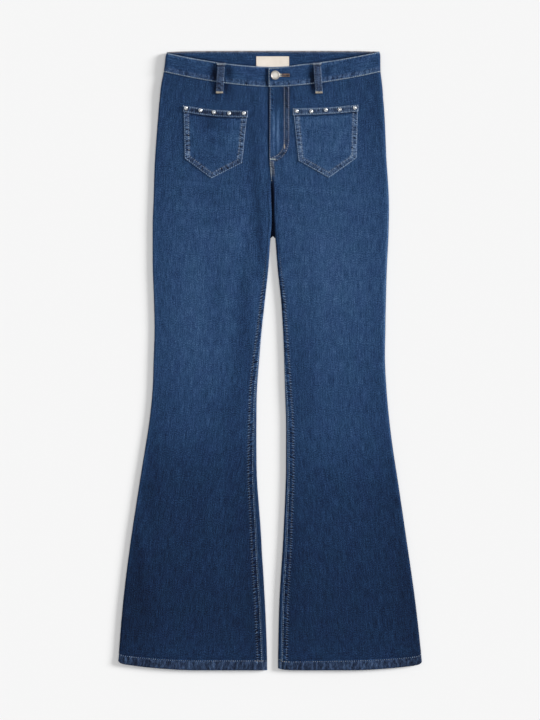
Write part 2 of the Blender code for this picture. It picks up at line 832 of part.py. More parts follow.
def add_fly(denim, tape):
    """The zip's strip and the shield, one under the other behind the fly."""
    below = PANEL_WALL + PATCH_GAP + TAPE_WALL
    pieces = (
        ("zip", ZIP_EDGES, below, tape),
        ("fly_shield", SHIELD_EDGES, below + SEAM_GAP + TAPE_WALL, denim),
    )
    for name, edges, depth, material in pieces:
        grid = flat_grid(edges, (FLY_FOOT, FLY_TOP), FLY_COLUMNS, FLY_ROWS)
        add_patch(name, grid, lambda x, y, d=depth: front_height(x, y, RIGHT) - d, TAPE_WALL, material)


def add_button(metal):
    under_cap = BAND_TOP + SEAM_GAP
    foot = UNDERLAP_TOP + SEAM_GAP
    cap = under_cap - foot
    profile = [(0, 0), (SHANK_RADIUS, 0), (SHANK_RADIUS, cap)]
    profile += [(BUTTON_RADIUS - inset, cap + rise) for inset, rise in BUTTON_RIM]
    profile.append((0, cap + BUTTON_FACE))
    add_turned("button", profile, BUTTON_SIDES, (*BUTTON_CENTRE, foot), metal)


def add_label(cloth):
    grid = flat_grid(LABEL_EDGES, (LABEL_FOOT, LABEL_TOP), 4, 2)
    seat = WAIST_LIFT + BAND_WALL + SEAM_GAP
    add_patch("label", grid, lambda x, y: seat, LABEL_WALL, cloth)


def main():
    for thing in list(bpy.data.objects):
        bpy.data.objects.remove(thing, do_unlink=True)
    denim = make_material("denim", (45, 69, 104), 0.9)
    tape = make_material("zip tape", (36, 44, 60), 0.85)
    metal = make_material("silver metal", (187, 185, 182), 0.3, 1.0)
    cream = make_material("woven label", (214, 209, 197), 0.85)
    add_fronts(denim)
    add_backs(denim)
    add_front_bands(denim)
    add_back_band(denim)
    add_pockets(denim, metal)
    add_belt_loops(denim)
    add_fly(denim, tape)
    add_button(metal)
    add_label(cream)


main()
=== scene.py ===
import math

import bpy
import numpy as np
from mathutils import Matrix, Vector


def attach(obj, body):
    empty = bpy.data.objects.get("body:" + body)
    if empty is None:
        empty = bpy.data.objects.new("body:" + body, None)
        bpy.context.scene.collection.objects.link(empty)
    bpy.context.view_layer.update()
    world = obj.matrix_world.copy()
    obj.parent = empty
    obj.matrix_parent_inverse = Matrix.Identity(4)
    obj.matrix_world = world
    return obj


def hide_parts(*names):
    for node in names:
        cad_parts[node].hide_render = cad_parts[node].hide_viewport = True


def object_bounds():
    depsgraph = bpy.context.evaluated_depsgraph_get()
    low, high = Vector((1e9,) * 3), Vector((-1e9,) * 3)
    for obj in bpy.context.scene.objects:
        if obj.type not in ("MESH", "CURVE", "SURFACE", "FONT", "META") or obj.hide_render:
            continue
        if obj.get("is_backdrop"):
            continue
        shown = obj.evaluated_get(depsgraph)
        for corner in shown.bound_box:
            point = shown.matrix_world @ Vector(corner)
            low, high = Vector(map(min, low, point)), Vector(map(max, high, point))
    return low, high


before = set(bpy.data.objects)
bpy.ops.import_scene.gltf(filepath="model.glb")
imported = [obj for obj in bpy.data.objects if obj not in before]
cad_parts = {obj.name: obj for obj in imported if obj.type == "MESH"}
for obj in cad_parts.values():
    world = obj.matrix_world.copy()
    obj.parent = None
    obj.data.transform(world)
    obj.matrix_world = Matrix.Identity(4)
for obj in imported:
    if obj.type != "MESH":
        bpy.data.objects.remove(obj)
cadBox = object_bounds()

# Bootcut jeans, fastened and laid flat, face up. Lengths are in millimetres until a mesh is made.
# +X is to the right of the laid garment, +Y towards the waist and +Z up from the surface.
mm = 0.001
left, right = -1, 1
sideWords = {left: "left", right: "right"}

cloth = {
    "panelWall": 1.3,
    "hemWall": 2.3,  # three layers, turned up twice
    "bandWall": 2.2,
    "pocketWall": 1.3,
    "bindingWall": 1.2,
    "loopWall": 1.8,
    "labelWall": 0.7,
    "tapeWall": 1,
    "solidWall": 1.5,  # what the pieces under a panel keep clear of
    "seamGap": 0.3,
    "seatGap": 0.02,  # the seat's seam is drawn shut, as its allowances would close it
    "patchGap": 0.35,  # between a panel and what is sewn on it
    "rounding": 0.3,  # how far a wall's edge is drawn in, as a share of the wall
    "sharpOver": 62,  # degrees between faces
}

legs = {
    "edgeHeight": 6.4,  # over a leg's folded edge
    "foldRadius": 3.2,
    "puff": 0.5,  # how far the front rises inside its edges
    "puffReach": 45,
    "waistLift": 2.1,  # the back rides up on its belt loops
    "liftFrom": 395,
    "liftTo": 495,
    "outseamAngle": math.radians(30),  # above the fold's tip
    "seatFrom": 345,  # the front is one surface above
    "legsFrom": 285,  # and two legs below
    "smoothFrom": 330,
    "foldsFrom": 280,
    "clearOuter": 14,
    "clearInner": 10,
    "foldLimit": 0.9,
    "crotchFolded": 250,
    "backCrotch": 218,
    "backParting": 1,
}

# Y, then X of the left leg's outer and inner edge and of the right leg's inner and outer edge
outline = (
    (548, -181.5, -3.5, -3.5, 193.8), (539.5, -184.3, -3, -3, 195), (525, -186, -2.5, -2.5, 195.2),
    (511, -188, -2, -2, 195.6), (483, -193.1, 0, 0, 198.8), (426, -198.4, 0, 0, 203),
    (355, -203.6, 0, 0, 206), (320, -205, 1.8, 1.8, 208.5), (284.5, -206, 2.6, 4.7, 210.3),
    (249, -207.4, 3.4, 6.3, 210.3), (221, -207.6, 1.1, 9, 209.6),
    (160.5, -207.3, -3.2, 13.8, 206.6), (107.5, -205.3, -8.9, 19.5, 205.1),
    (54.5, -204.3, -14.5, 22.8, 204.1), (1.5, -205.9, -18.9, 24.8, 203.4),
    (-52, -207.8, -22.9, 26.3, 206.2), (-105, -213.1, -23.8, 28.1, 211),
    (-158, -221.3, -23.8, 28.2, 217.7), (-211, -229.9, -22.7, 27.7, 225.9),
    (-317.5, -246.2, -14.7, 23, 241.6), (-423.5, -259.5, -8, 16.5, 256.7),
    (-530, -268.3, -4.7, 13.9, 268.5), (-548, -268.9, -4.4, 13.8, 269),
)
# Y, X of the centre-front and centre-back seams
centreLine = (
    (548, -4.2), (483, -1.5), (355, -1.5), (320, 1.4), (221, 5.1), (200, 5.1),
)
# Y, left, right: where a front ends, along the cloth from the top of its inner fold
inseam = (
    (345, 0, 0), (330, 0, 0), (315, 1.6, 1.6), (300, 3.4, 3.4), (280, 5.2, 5.2), (250, 6, 6),
    (170, 6, 6), (100, 5.6, 5.9), (50, 4.6, 5.4), (10, 2.3, 4.2), (-40, 0.6, 2.2), (-90, -0.4, 0.4),
    (-180, -2.4, -0.9), (-280, -4.8, -1.5), (-360, -7, -2.7), (-440, -6.5, -3.2),
    (-500, -5.4, -3.2), (-550, -5, -3.2),
)
# X and Y of the middle, degrees from upright, half length, half width, height
mainFolds = (
    (-47, 176, -5, 85, 11, -1), (-72, 190, -3, 80, 14, 0.7), (-34, 120, -8, 60, 10, 0.6),
    (-122, 110, 2, 120, 24, 0.5), (-98, -110, 3, 130, 22, 0.5), (-150, -260, 8, 120, 22, -0.5),
    (-62, -330, -4, 120, 20, 0.45), (-22, 268, -38, 34, 9, -0.6), (46, 132, 7, 70, 12, -0.9),
    (74, 200, 4, 80, 16, 0.6), (132, 60, -2, 120, 24, 0.5), (92, -90, -4, 130, 22, 0.5),
    (150, -300, -8, 120, 24, -0.5), (66, -340, 4, 110, 20, 0.45), (32, 262, 38, 34, 9, -0.5),
)
# Finer creases of the front: at the hips, the crotch, the knees and down the lower legs
fineCreases = (
    (-150, 318, 82, 46, 3.4, -0.34), (-118, 300, 86, 60, 3, -0.26), (-70, 312, 97, 40, 3.2, -0.30),
    (-62, 284, 102, 52, 3.6, -0.34), (-120, 262, 85, 55, 3.4, -0.22),
    (-50, 240, 108, 36, 3.8, -0.30), (64, 306, 82, 44, 3.2, -0.30), (122, 296, 95, 60, 3.2, -0.26),
    (70, 276, 76, 48, 3.8, -0.34), (150, 266, 96, 46, 3.2, -0.22), (58, 238, 70, 34, 3.6, -0.28),
    (-30, 300, 22, 26, 3.6, -0.40), (30, 302, -24, 24, 3.4, -0.36), (-168, 150, 4, 60, 5, -0.22),
    (170, 120, -5, 70, 5, -0.22), (-118, -22, 80, 44, 4.4, -0.24), (-84, -58, 100, 40, 4, -0.20),
    (-140, -92, 84, 36, 4.4, -0.22), (110, -30, 98, 46, 4.4, -0.22), (140, -74, 86, 40, 4, -0.20),
    (82, -104, 80, 34, 4.2, -0.22), (-184, -180, 7, 90, 5.5, -0.26), (-96, -420, -3, 100, 6, 0.22),
    (-196, -430, 6, 80, 6, 0.22), (-40, -200, -6, 80, 5.5, -0.24), (190, -210, -7, 90, 5.5, -0.26),
    (52, -210, 5, 80, 5.5, -0.24), (112, -430, 3, 100, 6, 0.22), (206, -440, -5, 80, 6, 0.22),
)
# The back's creases: all rise off the surface that it lies on
backCreases = (
    (-120, 250, 80, 60, 6, 0.5), (-62, 205, 106, 46, 5, 0.5), (-150, 180, 86, 40, 5.5, 0.4),
    (-112, -40, 84, 56, 5.5, 0.5), (-150, -74, 98, 44, 5, 0.4), (-60, 60, -6, 90, 8, 0.5),
    (-190, -240, 8, 110, 8, 0.5), (118, 246, 97, 62, 6, 0.5), (60, 200, 74, 44, 5, 0.5),
    (154, 172, 92, 40, 5.5, 0.4), (116, -46, 96, 54, 5.5, 0.5), (150, -84, 84, 42, 5, 0.4),
    (58, 50, 6, 90, 8, 0.5), (196, -250, -8, 110, 8, 0.5),
)

hem = {
    "end": -547.4,
    "depth": 16.6,
    "step": 4,
    "rise": 0.5,
    "edge": 8,
    "cornerReach": 4,
    "innerReach": 9,
    "power": 1.8,
    "fade": 60,
    "stitchUp": 16.6,  # the stitch line over the hem's end
    "stitchDrop": {left: 0, right: 2.2},  # and how far it dips towards the inseam
    "dropReach": 85,
    "ripple": 0.46,  # height of the roping
    "rippleSpacing": 11.6,
    "curves": {
        left: {"rise": 12.0, "reach": 140.0, "corner": 4.0, "inner": 0.0},
        right: {"rise": 10.0, "reach": 130.0, "corner": 4.0, "inner": 3.5},
    },
}

waist = {
    "side": 510.7,  # the waist seam at the outseams
    "dip": 26.4,
    "bandSide": 545.4,
    "bandDip": 25.7,
    "centre": 1.8,
    "curve": 1.7,
    "backTop": 548.2,
    "backDip": 3,
    "backDipRight": 1.6,
    "backCurve": 6,
    "yokeSide": 467,
    "yokeDip": 30,
    "dipFadeEnd": 235,
    "bandTop": 10.3,
    "bandRadius": 4.1,
    "underlapTop": 7.8,
    "underlapEnd": 28,
    "underlapSlope": 24,
    "overlapEnd": -2.5,
}

fly = {
    "tuck": 1.2,  # how far the left front sinks to pass under the fly's edge
    "tuckReach": 20,
    "tuckFrom": 318,
    "tuckTo": 348,
    "foot": 352,
    "top": 484.6,
    "zipEdges": (1, 25),
    "shieldEdges": (-15, 35),
    "stitchTurn": 390,  # Y where the curved stitching leaves the upright
    "stitchOuter": (32.9, 37.2),  # how far out and how far down its outer row turns
    "stitchInner": (25.1, 31.5),
    "stitchEnd": 0.2,
    "puckerSpacing": 7.6,
}


# Curves and blends, on arrays
def ease(t):
    t = np.clip(t, 0.0, 1.0)
    return t * t * (3 - 2 * t)


def blend(a, b, t):
    return a + (b - a) * t


def bell(distance, width):
    return np.exp(-((distance / width) ** 2))


def nearer(a, b):
    # distance to the nearer of two lines
    return np.minimum(np.abs(a), np.abs(b))


def readTable(rows, key, column):
    # a smooth curve through one column of a table
    table = np.array(sorted(rows), float)
    at, values = table[:, 0], table[:, column]
    slopes = np.empty_like(values)
    slopes[1:-1] = (values[2:] - values[:-2]) / (at[2:] - at[:-2])
    slopes[0] = (values[1] - values[0]) / (at[1] - at[0])
    slopes[-1] = (values[-1] - values[-2]) / (at[-1] - at[-2])
    key = np.clip(key, at[0], at[-1])
    i = np.clip(np.searchsorted(at, key, side="right") - 1, 0, len(at) - 2)
    width = at[i + 1] - at[i]
    t = (key - at[i]) / width
    return (
        (1 + 2 * t) * (1 - t) ** 2 * values[i]
        + t * (1 - t) ** 2 * width * slopes[i]
        + t * t * (3 - 2 * t) * values[i + 1]
        + t * t * (t - 1) * width * slopes[i + 1]
    )


def ripple(along, spacing, phase):
    # an uneven wave, from -1 to 1
    turn = math.tau * along / spacing
    wander = 1.5 * np.sin(turn / 4.7 + 2.1 * phase) + 0.9 * np.sin(turn / 2.3 + 5.3 * phase)
    return np.sin(turn + wander + phase) * (0.62 + 0.38 * np.sin(turn / 3.1 + 3.7 * phase))


def creases(x, y, table):
    total = 0.0
    for atX, atY, turn, halfLength, halfWidth, height in table:
        angle = math.radians(turn)
        across = (x - atX) * math.cos(angle) + (y - atY) * math.sin(angle)
        along = (y - atY) * math.cos(angle) - (x - atX) * math.sin(angle)
        total = total + height * bell(across, halfWidth) * bell(along, halfLength)
    return total


# The garment's form
def lift(y):
    return legs["waistLift"] * ease((y - legs["liftFrom"]) / (legs["liftTo"] - legs["liftFrom"]))


def centre(y):
    return readTable(centreLine, y, 1)


def reach(y, side):
    # a leg's outer and inner edges, measured from X = 0 towards its side
    outer = readTable(outline, y, 1 if side == left else 4)
    inner = readTable(outline, y, 2 if side == left else 3)
    return side * outer, side * inner + cloth["seamGap"] / 2


def fromEdges(x, y, side):
    # how far in from a leg's outer and inner edges
    outer, inner = reach(y, side)
    return outer - side * x, side * x - inner


def legness(y):
    return ease((legs["seatFrom"] - y) / (legs["seatFrom"] - legs["legsFrom"]))


def relief(x, y, side):
    # how far the front's outer face stands over the height of its folded edges
    fromOuter, fromInner = fromEdges(x, y, side)
    innerPuff = blend(1, ease(fromInner / legs["puffReach"]), legness(y))
    innerClear = blend(1, ease(fromInner / legs["clearInner"]), legness(y))
    inside = ease(fromOuter / legs["puffReach"]) * innerPuff
    clear = ease(fromOuter / legs["clearOuter"]) * innerClear
    smooth = ease((legs["smoothFrom"] - y) / (legs["smoothFrom"] - legs["foldsFrom"]))
    folds = creases(x, y, mainFolds) * smooth
    folds = np.clip(folds, -legs["foldLimit"], legs["foldLimit"] - legs["puff"])
    return legs["puff"] * inside + (folds + creases(x, y, fineCreases)) * clear


def frontHeight(x, y, side):
    return legs["edgeHeight"] + lift(y) + relief(x, y, side)


def flyTuck(x, y, side):
    if side == right:
        return 0.0 * x
    share = ease((y - fly["tuckFrom"]) / (fly["tuckTo"] - fly["tuckFrom"]))
    return fly["tuck"] * (1 - ease((centre(y) - x) / fly["tuckReach"])) * share


def hemShare(row):
    return ease((hem["end"] + hem["depth"] + hem["step"] - row) / hem["step"])


def hemLift(side, row, fromOuter, fromInner):
    curve = hem["curves"][side]
    rise = curve["rise"] * np.maximum(1 - fromOuter / curve["reach"], 0) ** hem["power"]
    rise = rise + curve["corner"] * np.exp(-np.maximum(fromOuter, 0) / hem["cornerReach"])
    rise = rise + curve["inner"] * np.exp(-np.maximum(fromInner, 0) / hem["innerReach"])
    return rise * (1 - ease((row - hem["end"]) / hem["fade"]))


def outseamStart(radius, over):
    return legs["outseamAngle"] + over * cloth["seamGap"] / 2 / radius


def foldLength(outer, end, radius, over):
    return (math.pi / 2 - over * outseamStart(radius, over)) * radius + outer - radius - end


def foldAt(outer, end, radius, over, base, s, depth):
    # a wall from the outseam round the fold and inwards to end: over is 1 above, and -1 below
    start = outseamStart(radius, over)
    arc = (math.pi / 2 - over * start) * radius
    angle = start + over * np.minimum(s, arc) / radius
    p = outer - radius + (radius - depth) * np.cos(angle)
    z = base + radius + (radius - depth) * np.sin(angle)
    run = np.maximum(outer - radius - (s - arc), end)
    level = base + 2 * radius - depth if over > 0 else base + depth
    return np.where(s < arc, p, run), np.where(s < arc, z, level)


def inseamPlace(y, side):
    return readTable(inseam, y, 1 if side == left else 2)


def frontRunEnd(y, side):
    radius = legs["foldRadius"]
    _, inner = reach(y, side)
    turned = inseamPlace(y, side)
    folded = inner + radius + np.maximum(cloth["seamGap"] / 2 - turned, 0)
    seat = inner + radius * np.sin(np.minimum(turned / radius, math.pi / 2))
    return np.where(y < legs["crotchFolded"], folded, seat)


def frontLength(y, side):
    outer, _ = reach(y, side)
    turned = np.maximum(inseamPlace(y, side) - cloth["seamGap"] / 2, 0)
    return foldLength(outer, frontRunEnd(y, side), legs["foldRadius"], 1) + turned


def frontSection(y, side, s, depth):
    # a point of a front, s along it from the outseam and depth in from its outer face
    radius = legs["foldRadius"]
    outer, _ = reach(y, side)
    end, base = frontRunEnd(y, side), lift(y)
    run = foldLength(outer, end, radius, 1)
    p, z = foldAt(outer, end, radius, 1, base, np.minimum(s, run), depth)
    angle = np.maximum(s - run, 0) / radius
    turned = s > run
    p = np.where(turned, end - (radius - depth) * np.sin(angle), p)
    z = np.where(turned, base + radius + (radius - depth) * np.cos(angle), z)
    at = side * np.maximum(np.minimum(p, outer - radius), end)
    return p, z + relief(at, y, side) - flyTuck(at, y, side)


def backParts(y, side):
    radius = legs["foldRadius"]
    outer, inner = reach(y, side)
    seam = inseamPlace(y, side) + cloth["seamGap"] / 2
    parted = ease((legs["backCrotch"] - y) / legs["backParting"])
    end = blend(side * centre(y) + cloth["seatGap"] / 2, inner + radius, parted)
    turn = parted * (math.pi * radius - np.maximum(seam, 0))
    return foldLength(outer, end, radius, -1), turn, np.maximum(-seam, 0) * parted, end


def backLength(y, side):
    run, turn, top, _ = backParts(y, side)
    return run + turn + top


def backSection(y, side, s, depth):
    radius = legs["foldRadius"]
    outer, _ = reach(y, side)
    base = lift(y)
    run, turn, _, end = backParts(y, side)
    p, z = foldAt(outer, end, radius, -1, base, np.minimum(s, run), depth)
    angle = np.clip(s - run, 0, turn) / radius
    turned = s > run
    p = np.where(turned, end - (radius - depth) * np.sin(angle) + np.maximum(s - run - turn, 0), p)
    return p, np.where(turned, base + radius - (radius - depth) * np.cos(angle), z)


def waistShare(x):
    # 0 at the centre front and 1 at the outseams
    onLeft = x < waist["centre"]
    side = np.where(onLeft, left, right)
    outer = np.where(onLeft, reach(waist["side"], left)[0], reach(waist["side"], right)[0])
    return np.clip(side * (x - waist["centre"]) / (outer - side * waist["centre"]), 0, 1)


def frontRow(row, x, side):
    fade = ease((row - waist["dipFadeEnd"]) / (waist["side"] - waist["dipFadeEnd"]))
    dip = waist["dip"] * fade * (1 - waistShare(x) ** waist["curve"])
    return row - dip + hemLift(side, row, *fromEdges(x, row, side))


def backRow(row, x, side):
    over = (waist["side"] - row) / (waist["side"] - waist["yokeSide"])
    under = ease((row - waist["dipFadeEnd"]) / (waist["yokeSide"] - waist["dipFadeEnd"]))
    fade = np.where(row > waist["yokeSide"], over, under)
    dip = waist["yokeDip"] * fade * (1 - waistShare(x))
    return row - dip + hemLift(side, row, *fromEdges(x, row, side))


# Meshes from grids of points
def stacked(*parts):
    # points from their coordinates
    return np.stack(np.broadcast_arrays(*parts), -1)


def floats(values):
    return np.ascontiguousarray(values, np.float32).ravel()


def newObject(name, data):
    made = bpy.data.objects.new(name, data)
    bpy.context.scene.collection.objects.link(made)
    return made


def plainObject(name, points, edges=(), faces=()):
    mesh = bpy.data.meshes.new(name)
    mesh.from_pydata([tuple(point) for point in np.array(points) * mm], edges, faces)
    return newObject(name, mesh)


def finishMesh(mesh, material, sharpOver):
    mesh.materials.append(material)
    mesh.shade_smooth()
    mesh.set_sharp_from_angle(angle=math.radians(sharpOver))


def makeMesh(name, points, faces, uv, marks, material):
    triangles = np.concatenate([faces[:, [0, 1, 2]], faces[:, [0, 2, 3]]])
    a, b, c = (points[triangles[:, n]] for n in range(3))
    if np.einsum("ij,ij->i", a, np.cross(b, c)).sum() < 0:  # so that faces point outwards
        faces = faces[:, ::-1]
    mesh = bpy.data.meshes.new(name)
    mesh.vertices.add(len(points))
    mesh.vertices.foreach_set("co", floats(points * mm))
    mesh.loops.add(faces.size)
    mesh.loops.foreach_set("vertex_index", np.ascontiguousarray(faces, np.int32).ravel())
    mesh.polygons.add(len(faces))
    mesh.polygons.foreach_set("loop_start", np.arange(0, faces.size, 4, dtype=np.int32))
    mesh.update(calc_edges=True)
    mesh.validate()
    mesh.uv_layers.new(name="cloth").data.foreach_set("uv", floats(uv[faces.ravel()] * mm))
    for word, values in marks.items():
        mesh.attributes.new(word, "FLOAT", "POINT").data.foreach_set("value", floats(values))
    finishMesh(mesh, material, cloth["sharpOver"])
    return newObject(name, mesh)


def makeWall(name, near, far, uv, marks, material, inside=1.0):
    # a closed wall between two grids, with its edges rounded off
    rows, columns = near.shape[:2]
    edge = np.ones((rows, columns), bool)
    edge[1:-1, 1:-1] = False
    a, b = near.copy(), far.copy()
    a[edge] = blend(near[edge], far[edge], cloth["rounding"])
    b[edge] = blend(far[edge], near[edge], cloth["rounding"])
    count = rows * columns
    index = np.arange(count).reshape(rows, columns)
    quads = stacked(index[:-1, :-1], index[:-1, 1:], index[1:, 1:], index[1:, :-1]).reshape(-1, 4)
    rim = np.concatenate([index[0, :], index[1:, -1], index[-1, -2::-1], index[-2:0:-1, 0]])
    after = np.roll(rim, -1)
    faces = [quads, quads[:, ::-1] + count, stacked(after, rim, rim + count, after + count)]
    doubled = {word: np.tile((values + 0 * index).ravel(), 2) for word, values in marks.items()}
    # the far face's inside mark: 1 makes the reverse side paler, and lower values, down below zero,
    # paint shade on it
    doubled["inside"] = np.concatenate([np.zeros(count), (inside + 0 * index).ravel()])
    points = np.concatenate([a.reshape(-1, 3), b.reshape(-1, 3)])
    uv = np.tile(uv.reshape(-1, 2), (2, 1))
    return makeMesh(name, points, np.concatenate(faces), uv, doubled, material)


def spread(head, middle, tail):
    # places along a section: fixed lengths at both ends and even spaces between them
    t = np.arange(1, middle) / middle
    offset = np.concatenate([head, blend(head[-1], -tail[0], t), -np.array(tail)])
    share = np.concatenate([np.zeros(len(head)), t, np.ones(len(tail))])
    return offset, share


def columnAt(columns, fromEnd):
    # the fractional column at this length from the section's far end
    offset, share = columns
    atEnd = np.flatnonzero(share == 1)
    return np.interp(-fromEnd, offset[atEnd], atEnd)


def gridNormals(grid):
    normal = np.cross(np.gradient(grid, axis=1), np.gradient(grid, axis=0))
    return normal / np.maximum(np.linalg.norm(normal, axis=-1, keepdims=True), 1e-9)


def onGrid(grid, rowAt, columnsAt):
    # points and normals of a grid at fractional rows and columns
    rowAt, columnsAt = np.broadcast_arrays(np.asarray(rowAt, float), np.asarray(columnsAt, float))
    i = np.clip(rowAt.astype(int), 0, grid.shape[0] - 2)
    j = np.clip(columnsAt.astype(int), 0, grid.shape[1] - 2)
    u, v = (rowAt - i)[:, None], (columnsAt - j)[:, None]

    def read(values):
        low = blend(values[i, j], values[i, j + 1], v)
        return blend(low, blend(values[i + 1, j], values[i + 1, j + 1], v), u)

    return read(grid), read(gridNormals(grid))


def flatSize(grid):
    # the cut's width, length and area, in metres, from a piece's outer face
    across = np.linalg.norm(np.diff(grid, axis=1), axis=-1).sum(axis=1).max()
    along = np.linalg.norm(np.diff(grid, axis=0), axis=-1).sum(axis=0).max()
    a, b = grid[1:, 1:] - grid[:-1, :-1], grid[1:, :-1] - grid[:-1, 1:]
    area = np.linalg.norm(np.cross(a, b), axis=-1).sum() / 2
    return (across * mm, along * mm), min(area * mm * mm, across * along * mm * mm)


def declareCloth(piece, grid, nodes):
    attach(piece, "root")
    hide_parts(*nodes)
    flat, area = flatSize(grid)


# Finishes
def linear(channel):
    value = channel / 255
    return value / 12.92 if value <= 0.04045 else ((value + 0.055) / 1.055) ** 2.4


def paint(colour):
    return (*map(linear, colour), 1)


class Nodes:
    # a node tree, whose nodes are added with their inputs: sockets are linked, and values set
    def __init__(self, tree):
        self.tree = tree

    def enter(self, socket, value):
        if isinstance(value, bpy.types.NodeSocket):
            self.tree.links.new(value, socket)
        else:
            socket.default_value = value

    def add(self, kind, inputs=(), **settings):
        node = self.tree.nodes.new(kind)
        for word, value in settings.items():
            setattr(node, word, value)
        for word, value in dict(inputs).items():
            self.enter(node.inputs[word], value)
        return node.outputs

    def maths(self, operation, *values, clamp=False):
        settings = {"operation": operation, "use_clamp": clamp}
        return self.add("ShaderNodeMath", enumerate(values), **settings)[0]

    def times(self, a, b):
        return self.maths("MULTIPLY", a, b)

    def plus(self, total, value, factor, clamp=False):
        return self.maths("MULTIPLY_ADD", value, factor, total, clamp=clamp)

    def joined(self, *values):
        return self.add("ShaderNodeCombineXYZ", enumerate(values))[0]

    def mark(self, word):
        return self.add("ShaderNodeAttribute", attribute_name=word)["Fac"]

    def place(self):
        return self.add("ShaderNodeTexCoord")["Object"]

    def noise(self, place, scale, detail, roughness=0.5):
        # noise about zero, at its own scale along each axis
        moved = self.add("ShaderNodeVectorMath", {0: place, 1: scale}, operation="MULTIPLY")[0]
        inputs = {"Vector": moved, "Scale": 1.0, "Detail": detail, "Roughness": roughness}
        return self.maths("SUBTRACT", self.add("ShaderNodeTexNoise", inputs)["Fac"], 0.5)

    def stripes(self, place, scale, direction, distortion=0.0):
        inputs = {"Vector": place, "Scale": scale, "Distortion": distortion}
        return self.add("ShaderNodeTexWave", inputs, bands_direction=direction)["Fac"]

    def near(self, gap, width):
        # 1 on a line and 0 from this distance on
        return self.maths("SUBTRACT", 1.0, self.maths("DIVIDE", gap, width, clamp=True))


def newMaterial(name, roughness, metallic=0.0, specular=0.5, sheen=0.0):
    material = bpy.data.materials.new(name)
    material.use_nodes = True
    shader = material.node_tree.nodes["Principled BSDF"].inputs
    shader["Roughness"].default_value = roughness
    shader["Metallic"].default_value = metallic
    shader["Specular IOR Level"].default_value = specular
    shader["Sheen Weight"].default_value = sheen
    return material, Nodes(material.node_tree), shader


def mixPaints(nodes, shader, share, dark, light):
    inputs = {0: share, 6: paint(dark), 7: paint(light)}
    nodes.enter(shader["Base Color"], nodes.add("ShaderNodeMix", inputs, data_type="RGBA")[2])


def addBump(nodes, shader, height, distance, strength):
    inputs = {"Height": height, "Distance": distance, "Strength": strength}
    nodes.enter(shader["Normal"], nodes.add("ShaderNodeBump", inputs)["Normal"])


denimLook = {
    "roughness": 0.86,
    "specular": 0.12,
    "sheen": 0.04,
    "sheenTint": (150, 170, 200),
    "toneScale": 200,  # the tone, the mean of the three channels, that the ramp ends at
    "ramp": (
        (0, (1, 8, 30)),
        (24, (7, 18, 40)),
        (50, (20, 43, 75)),
        (76, (40, 69, 108)),
        (105, (72, 102, 141)),
        (140, (116, 140, 167)),
        (180, (166, 178, 194)),
    ),
    "noises": {
        # repeats in a millimetre across and along the cloth, detail and roughness
        "slub": (0.64, 0.042, 1, 0.5),
        "streak": (0.16, 0.012, 1, 0.5),
        "mottle": (0.11, 0.075, 3, 0.5),
        "crumple": (0.07, 0.17, 3, 0.5),
        "grain": (0.66, 0.54, 1, 0.5),
        "fleck": (3.4, 0.9, 2, 0.6),
        "shift": (0.034, 0.022, 2, 0.5),
        "wander": (0.05, 0.05, 1, 0.5),
    },
    "twill": (8.4, 5.6),
    "puckerWander": 1.9,
    "dent": (0.4, -1.6),  # a pucker is a narrow dent, even in all
    "ruckNoise": ((2.5, 0.13, 0.13), 2, 0.55),  # along a seam, and across and along the cloth
    "edgeWidth": 1.5,
    "grooveWidth": 1.3,
    "weave": {
        # how far each pattern shows in the tone, and more where it is pale
        "slub": 0.26, "streak": 0.05, "mottle": 0.11, "grain": 0.52, "fleck": 0.16,
        "twill": 0.016, "crumple": 0.22,
    },
    "vigour": (0.6, 1.05),
    "worn": {
        # and what is worn (in part painted light and shade), sewn or seen from inside; the stitch
        # grooves are darker, in part as painted shade, and inner faces take painted shade where their
        # inside mark is lowered
        "wear": 0.30, "edge": 0.38, "groove": -0.12, "inside": 0.06, "pucker": 0.15, "ruck": 0.95,
    },
    "height": {
        "twill": 0.25, "slub": 1.3, "grain": 1.2, "fleck": 0.8, "pucker": 1.6, "ruck": 5,
        "groove": -1.6,
    },
    "hue": 0.016,
    "faded": 0.32,
    "fadedEdge": 0.6,
}


